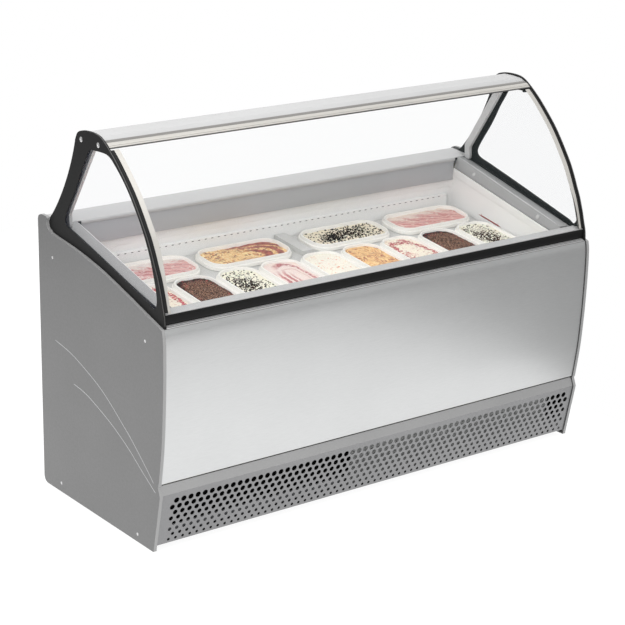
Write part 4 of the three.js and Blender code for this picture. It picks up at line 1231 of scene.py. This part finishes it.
def plain(name, base, speck, seed=0.0, amount=0.72, warmth=None):
    cx, cy, lx, ly = TUBS[name]
    m = Ice(name + "_flavour", cx, cy, lx, ly)
    c = base
    soft = m.noise(22, detail=3)
    lo, hi = vary(base, 0.03)
    c = m.ramp(soft, (0.3, lo), (0.7, hi))
    if warmth:
        w = m.warp(m.uv, 12.0, 0.9, seed)
        f = m.step(m.wave(w, 1.2, 4.0, "Y", 2.0), 0.45, 1.0)
        c = m.mix(m.math("MULTIPLY", f, 0.6), c, warmth)
    if speck:
        s = m.math("GREATER_THAN", m.noise(150, detail=0.0), amount)
        c = m.mix(s, c, speck)
    return m.finish(c)


def contour(name, base, line, deep, seed=0.0, side=None):
    """Tan base with thin irregular ribbons, some of them deep red; side adds broad bands at that end."""
    cx, cy, lx, ly = TUBS[name]
    m = Ice(name + "_flavour", cx, cy, lx, ly)
    w = m.warp(m.uv, 15.0, 1.5, seed)
    thin = m.wave(w, 3.0, 5.0, "Y" if ly > lx else "X", 3.0)
    f = m.step(thin, 0.42, 0.80)
    c = m.mix(m.math("MULTIPLY", f, 0.80), base, line)
    veins = m.wave(m.warp(m.uv, 18.0, 1.3, seed + 5), 2.6, 6.0, "DIAGONAL", 3.0)
    blot = m.math("MULTIPLY", m.step(veins, 0.52, 0.74), m.step(m.noise(40, detail=2), 0.42, 0.54))
    c = m.mix(m.math("MULTIPLY", blot, 0.8), c, deep)
    if side:
        u, v = m.split(m.warp(m.uv, 9.0, 0.40, seed + 2))
        # bands that run round the right-hand end, like folded sheets
        uu = m.math("ADD", u, -0.10)
        r = m.edge(uu, m.math("ADD", m.math("MULTIPLY", v, 0.8), 0.30), 2.0)
        bands = m.node("ShaderNodeMath", operation="SINE")
        m.wire(m.math("MULTIPLY", r, 19.0), bands.inputs[0])
        b = m.step(bands.outputs[0], -0.45, 0.10)
        where = m.step(m.math("ADD", u, m.math("MULTIPLY", v, 0.25)), 0.02, 0.22)
        edgef = m.step(m.math("SUBTRACT", v, m.math("MULTIPLY", u, -0.1)), 0.70, 0.82)
        f2 = m.math("MAXIMUM", m.math("MULTIPLY", b, where), m.math("MULTIPLY", edgef, m.step(u, -0.35, 0.1)))
        c = m.mix(m.math("MULTIPLY", f2, 0.90), c, m.mix(m.step(m.noise(75, detail=3), 0.40, 0.58), side, deep))
    return m.finish(c)


def rippled(name, base, band, deep, seed=0.0):
    """Pale sheets with a broad ribbon round the far and right-hand walls and a coarser patch on the left."""
    cx, cy, lx, ly = TUBS[name]
    m = Ice(name + "_flavour", cx, cy, lx, ly)
    u, v = m.split(m.warp(m.uv, 13.0, 0.28, seed))
    r = m.edge(u, v, 2.8)
    broken = m.noise(85, detail=3, rough=0.6)
    ring = m.math("MULTIPLY", m.step(r, 0.72, 0.78), m.math("SUBTRACT", 1.0, m.step(r, 0.90, 0.97)))
    ring = m.math("MULTIPLY", ring, m.step(m.math("ADD", u, m.math("MULTIPLY", v, 0.5)), -0.25, 0.25))
    ring = m.math("MULTIPLY", ring, m.step(broken, 0.36, 0.50))
    line = m.math("MULTIPLY", m.step(r, 0.52, 0.55), m.math("SUBTRACT", 1.0, m.step(r, 0.57, 0.61)))
    line = m.math("MULTIPLY", line, m.math("MULTIPLY", m.step(u, -0.5, 0.0), 0.6))
    s = m.node("ShaderNodeMath", operation="SINE")
    m.wire(m.math("MULTIPLY", m.edge(m.math("ADD", u, -0.25), v, 2.2), 20.0), s.inputs[0])
    patch = m.math("MULTIPLY", m.step(u, 0.02, -0.22), m.step(v, 0.62, 0.30))
    patch = m.math("MULTIPLY", patch, m.step(m.math("ADD", s.outputs[0], m.math("MULTIPLY", m.math("SUBTRACT", broken, 0.5), 3.0)), -0.5, 0.2))
    f = m.math("MAXIMUM", m.math("MAXIMUM", ring, line), patch)
    c = m.mix(m.math("MULTIPLY", f, 0.9), base, m.mix(m.step(m.noise(150, detail=3), 0.42, 0.6), band, deep))
    return m.finish(c)


def sorbet(name, base, streak, white, seed=0.0):
    """Pink sheets drawn slantwise, thin and white towards the far wall."""
    cx, cy, lx, ly = TUBS[name]
    m = Ice(name + "_flavour", cx, cy, lx, ly)
    w = m.warp(m.uv, 10.0, 0.8, seed)
    u, v = m.split(w)
    bands = m.wave(w, 1.5, 5.0, "DIAGONAL", 3.0)
    grain = m.noise(130, detail=3, rough=0.65)
    c = m.mix(m.step(m.math("ADD", bands, m.math("SUBTRACT", grain, 0.5)), 0.35, 0.85), base, streak)
    # white wedges hang down from the far wall, like the edge of a folded cloth
    saw = m.node("ShaderNodeMath", operation="SINE")
    m.wire(m.math("MULTIPLY", m.math("ADD", u, m.math("MULTIPLY", v, 0.55)), 15.0), saw.inputs[0])
    drop = m.math("ADD", v, m.math("ADD", m.math("MULTIPLY", saw.outputs[0], 0.20), m.math("MULTIPLY", m.math("SUBTRACT", grain, 0.5), 0.9)))
    pale = m.step(m.math("ADD", drop, m.math("MULTIPLY", m.step(u, 0.0, -0.9), 0.1)), 0.38, 0.70)
    c = m.mix(m.math("MULTIPLY", pale, 0.85), c, white)
    veins = m.step(m.wave(m.warp(m.uv, 22.0, 1.0, seed + 3), 1.7, 5.0, "DIAGONAL", 3.0), 0.80, 0.97)
    c = m.mix(m.math("MULTIPLY", veins, 0.6), c, white)
    return m.finish(c)


def blob(u, v, u0, v0, ru, rv):
    return math.exp(-(((u - u0) / ru) ** 2) - ((v - v0) / rv) ** 2)


M["flake"] = coated("dark_flake", col(30, 22, 21), 0.9, grain=900, d=0.35, bump=0.3, spec=0.04)
M["flake3"] = coated("brown_flake", col(52, 40, 37), 0.9, grain=900, d=0.35, bump=0.3, spec=0.04)
M["flake2"] = coated("light_flake", col(62, 46, 40), 0.9, grain=900, d=0.35, bump=0.3, spec=0.04)

for name, (cx, cy, lx, ly) in TUBS.items():
    pan(name, cx, cy, lx, ly)

fill = {
    "tub_front_1": (swirled("tub_front_1", col(240, 232, 214), col(206, 92, 100), col(158, 30, 48), 1.2, 0.34, "X", 1.3, 0.5), {"rough": 2.5, "fine": 0.6}),
    "tub_front_2": (crumb("tub_front_2"), {"rough": 1.6, "fine": 1.1, "dome": 4.0}),
    "tub_front_3": (plain("tub_front_3", col(242, 239, 220), None, 3.1), {"rough": 1.8, "fine": 0.5}),
    "tub_front_4": (rippled("tub_front_4", col(238, 220, 213), col(204, 130, 132), col(160, 66, 74), 4.4), {"rough": 3.0, "fine": 0.4}),
    "tub_front_5": (plain("tub_front_5", col(244, 238, 224), col(226, 132, 92), 5.2, 0.735), {"rough": 2.4, "fine": 0.35}),
    "tub_front_6": (contour("tub_front_6", col(244, 210, 152), col(226, 160, 104), col(158, 72, 56), 6.7), {"rough": 2.4, "fine": 0.5}),
    "tub_front_7": (swirled("tub_front_7", col(245, 236, 218), col(206, 112, 112), col(156, 48, 60), 1.6, 0.36, "Y", 7.9, 0.42), {"rough": 3.0, "fine": 0.5}),
    "tub_front_8": (crumb("tub_front_8"), {"rough": 1.6, "fine": 1.1, "dome": 4.0, "seed": 9}),
    "tub_front_9": (plain("tub_front_9", col(240, 237, 220), None, 9.6), {"rough": 1.8, "fine": 0.5, "seed": 12}),
    "tub_rear_1": (sorbet("tub_rear_1", col(226, 176, 172), col(202, 138, 138), col(238, 232, 226), 2.2), {"rough": 3.0, "fine": 0.5, "seed": 14}),
    "tub_rear_2": (contour("tub_rear_2", col(250, 224, 170), col(224, 158, 100), col(128, 50, 62), 8.3, side=col(184, 98, 88)), {"rough": 2.6, "fine": 0.5, "seed": 15}),
    "tub_rear_3": (plain("tub_rear_3", col(237, 227, 204), None, 1.1), {"rough": 2.2, "fine": 0.5, "seed": 16}),
    "tub_rear_4": (sorbet("tub_rear_4", col(226, 172, 166), col(206, 142, 138), col(240, 226, 214), 6.1), {"rough": 3.0, "fine": 0.5, "seed": 17}),
}
tops = {}
for i, (name, (mat, opt)) in enumerate(fill.items()):
    cx, cy, lx, ly = TUBS[name]
    opt.setdefault("seed", i + 1)
    opt.setdefault("level", -8.0 if "front" in name else -11.0)
    tops[name] = filling(name, cx, cy, lx, ly, mat, **opt)

h, f = tops["tub_front_3"]
chips("tub_front_3_flakes", 0, 0, h, f, 620, lambda u, v: 0.95 * blob(u, v, -0.25, 0.30, 0.6, 0.46) + 0.04, M["flake3"], 31, (4.0, 8.5))
h, f = tops["tub_front_9"]
chips("tub_front_9_flakes", 0, 0, h, f, 760, lambda u, v: 0.9 * blob(u, v, -0.2, 0.35, 0.6, 0.5) + 0.06, M["flake2"], 32, (3.6, 7.0))
h, f = tops["tub_rear_3"]
chips("tub_rear_3_flakes", 0, 0, h, f, 900, lambda u, v: 0.99 * blob(u, v, -0.42, -0.15, 0.24, 0.42) + 0.34 * blob(u, v, 0.42, 0.05, 0.42, 0.7) + 0.05, M["flake"], 33, (4.5, 10.5), 325, 155)

# ------------------------------------------------------------------ camera
yaw, pitch, roll = math.radians(37.25), math.radians(18.28), math.radians(1.16)
fwd = Vector((math.sin(yaw) * math.cos(pitch), math.cos(yaw) * math.cos(pitch), -math.sin(pitch)))
right = Vector((math.cos(yaw), -math.sin(yaw), 0))
up = right.cross(fwd)
r2 = math.cos(roll) * right + math.sin(roll) * up
u2 = -math.sin(roll) * right + math.cos(roll) * up
cam = bpy.data.objects.new("camera", bpy.data.cameras.new("camera"))
cam.matrix_world = Matrix((
    (r2.x, u2.x, -fwd.x, -3.6542),
    (r2.y, u2.y, -fwd.y, -4.7501),
    (r2.z, u2.z, -fwd.z, 2.4974),
    (0, 0, 0, 1),
))
cam.data.sensor_width = 36
cam.data.lens = 36 * 1947.4 / 625
cam.data.clip_start, cam.data.clip_end = 0.1, 200
bpy.context.scene.collection.objects.link(cam)
bpy.context.scene.camera = cam

# ------------------------------------------------------------------ studio
scene = bpy.context.scene
scene.view_settings.view_transform = "Standard"
scene.view_settings.look = "None"

world = bpy.data.worlds.new("studio")
scene.world = world
world.use_nodes = True
nt = world.node_tree
nt.nodes.clear()
out = nt.nodes.new("ShaderNodeOutputWorld")
mixs = nt.nodes.new("ShaderNodeMixShader")
lp = nt.nodes.new("ShaderNodeLightPath")
white = nt.nodes.new("ShaderNodeBackground")
white.inputs["Color"].default_value = (1, 1, 1, 1)
white.inputs["Strength"].default_value = 1.0
env = nt.nodes.new("ShaderNodeBackground")
tc = nt.nodes.new("ShaderNodeTexCoord")
sep = nt.nodes.new("ShaderNodeSeparateXYZ")
nt.links.new(tc.outputs["Generated"], sep.inputs[0])
el = nt.nodes.new("ShaderNodeValToRGB")  # by elevation
mr = nt.nodes.new("ShaderNodeMapRange")
mr.inputs["From Min"].default_value = -1
mr.inputs["From Max"].default_value = 1
nt.links.new(sep.outputs["Z"], mr.inputs["Value"])
nt.links.new(mr.outputs["Result"], el.inputs["Fac"])
stops = [(0.0, 0.5), (0.30, 0.46), (0.44, 0.31), (0.51, 0.34), (0.60, 0.70), (0.74, 0.96), (1.0, 0.62)]
while len(el.color_ramp.elements) < len(stops):
    el.color_ramp.elements.new(0.5)
for e, (p, v) in zip(el.color_ramp.elements, stops, strict=True):
    e.position = p
    e.color = (v, v, v, 1)
# brighter towards the back of the room, low down
back = nt.nodes.new("ShaderNodeMapRange")
back.inputs["From Min"].default_value = -0.1
back.inputs["From Max"].default_value = 0.6
back.inputs["To Min"].default_value = 1.0
back.inputs["To Max"].default_value = 1.5
nt.links.new(sep.outputs["Y"], back.inputs["Value"])
gain = nt.nodes.new("ShaderNodeVectorMath")
gain.operation = "SCALE"
nt.links.new(el.outputs["Color"], gain.inputs[0])
nt.links.new(back.outputs["Result"], gain.inputs["Scale"])
nt.links.new(gain.outputs[0], env.inputs["Color"])
env.inputs["Strength"].default_value = 1.0
nt.links.new(lp.outputs["Is Camera Ray"], mixs.inputs["Fac"])
nt.links.new(env.outputs[0], mixs.inputs[1])
nt.links.new(white.outputs[0], mixs.inputs[2])
nt.links.new(mixs.outputs[0], out.inputs["Surface"])


def area(name, loc, target, size, power, sy=None):
    d = bpy.data.lights.new(name, "AREA")
    d.shape = "RECTANGLE"
    d.size, d.size_y = size, sy or size
    d.energy = power
    o = bpy.data.objects.new(name, d)
    o.location = loc
    o.rotation_mode = "QUATERNION"
    o.rotation_quaternion = (Vector(target) - Vector(loc)).to_track_quat("-Z", "Y")
    scene.collection.objects.link(o)
    return o


area("top_light", (-0.2, -0.6, 3.2), (0, 0, 0.7), 2.6, 16, 1.8)
area("left_light", (-3.0, -1.4, 2.6), (0.3, 0, 0.7), 1.8, 34, 1.8)
area("front_fill", (-1.0, -4.2, 2.3), (0, 0.2, 0.8), 2.4, 20, 1.6)

# pale floor, brightest round the object
bm = bmesh.new()
sheet = rounded(-3400, 1080, -2900, 3000, 300, 8)
bm.faces.new([bm.verts.new((x / 1000, y / 1000, 0)) for x, y in sheet])
floor = bpy.data.objects.new("floor", bpy.data.meshes.new("floor"))
bm.to_mesh(floor.data)
bm.free()
scene.collection.objects.link(floor)
fl = Mat("floor_paper")
fl.color(fl.ramp(fl.noise(40, detail=3), (0.3, col(126)), (0.7, col(130))))
fl.b.inputs["Roughness"].default_value = 0.9
fl.b.inputs["Specular IOR Level"].default_value = 0.1
fl.b.inputs["Emission Color"].default_value = (1, 1, 1, 1)
fl.b.inputs["Emission Strength"].default_value = 0.92
floor.data.materials.append(fl.m)
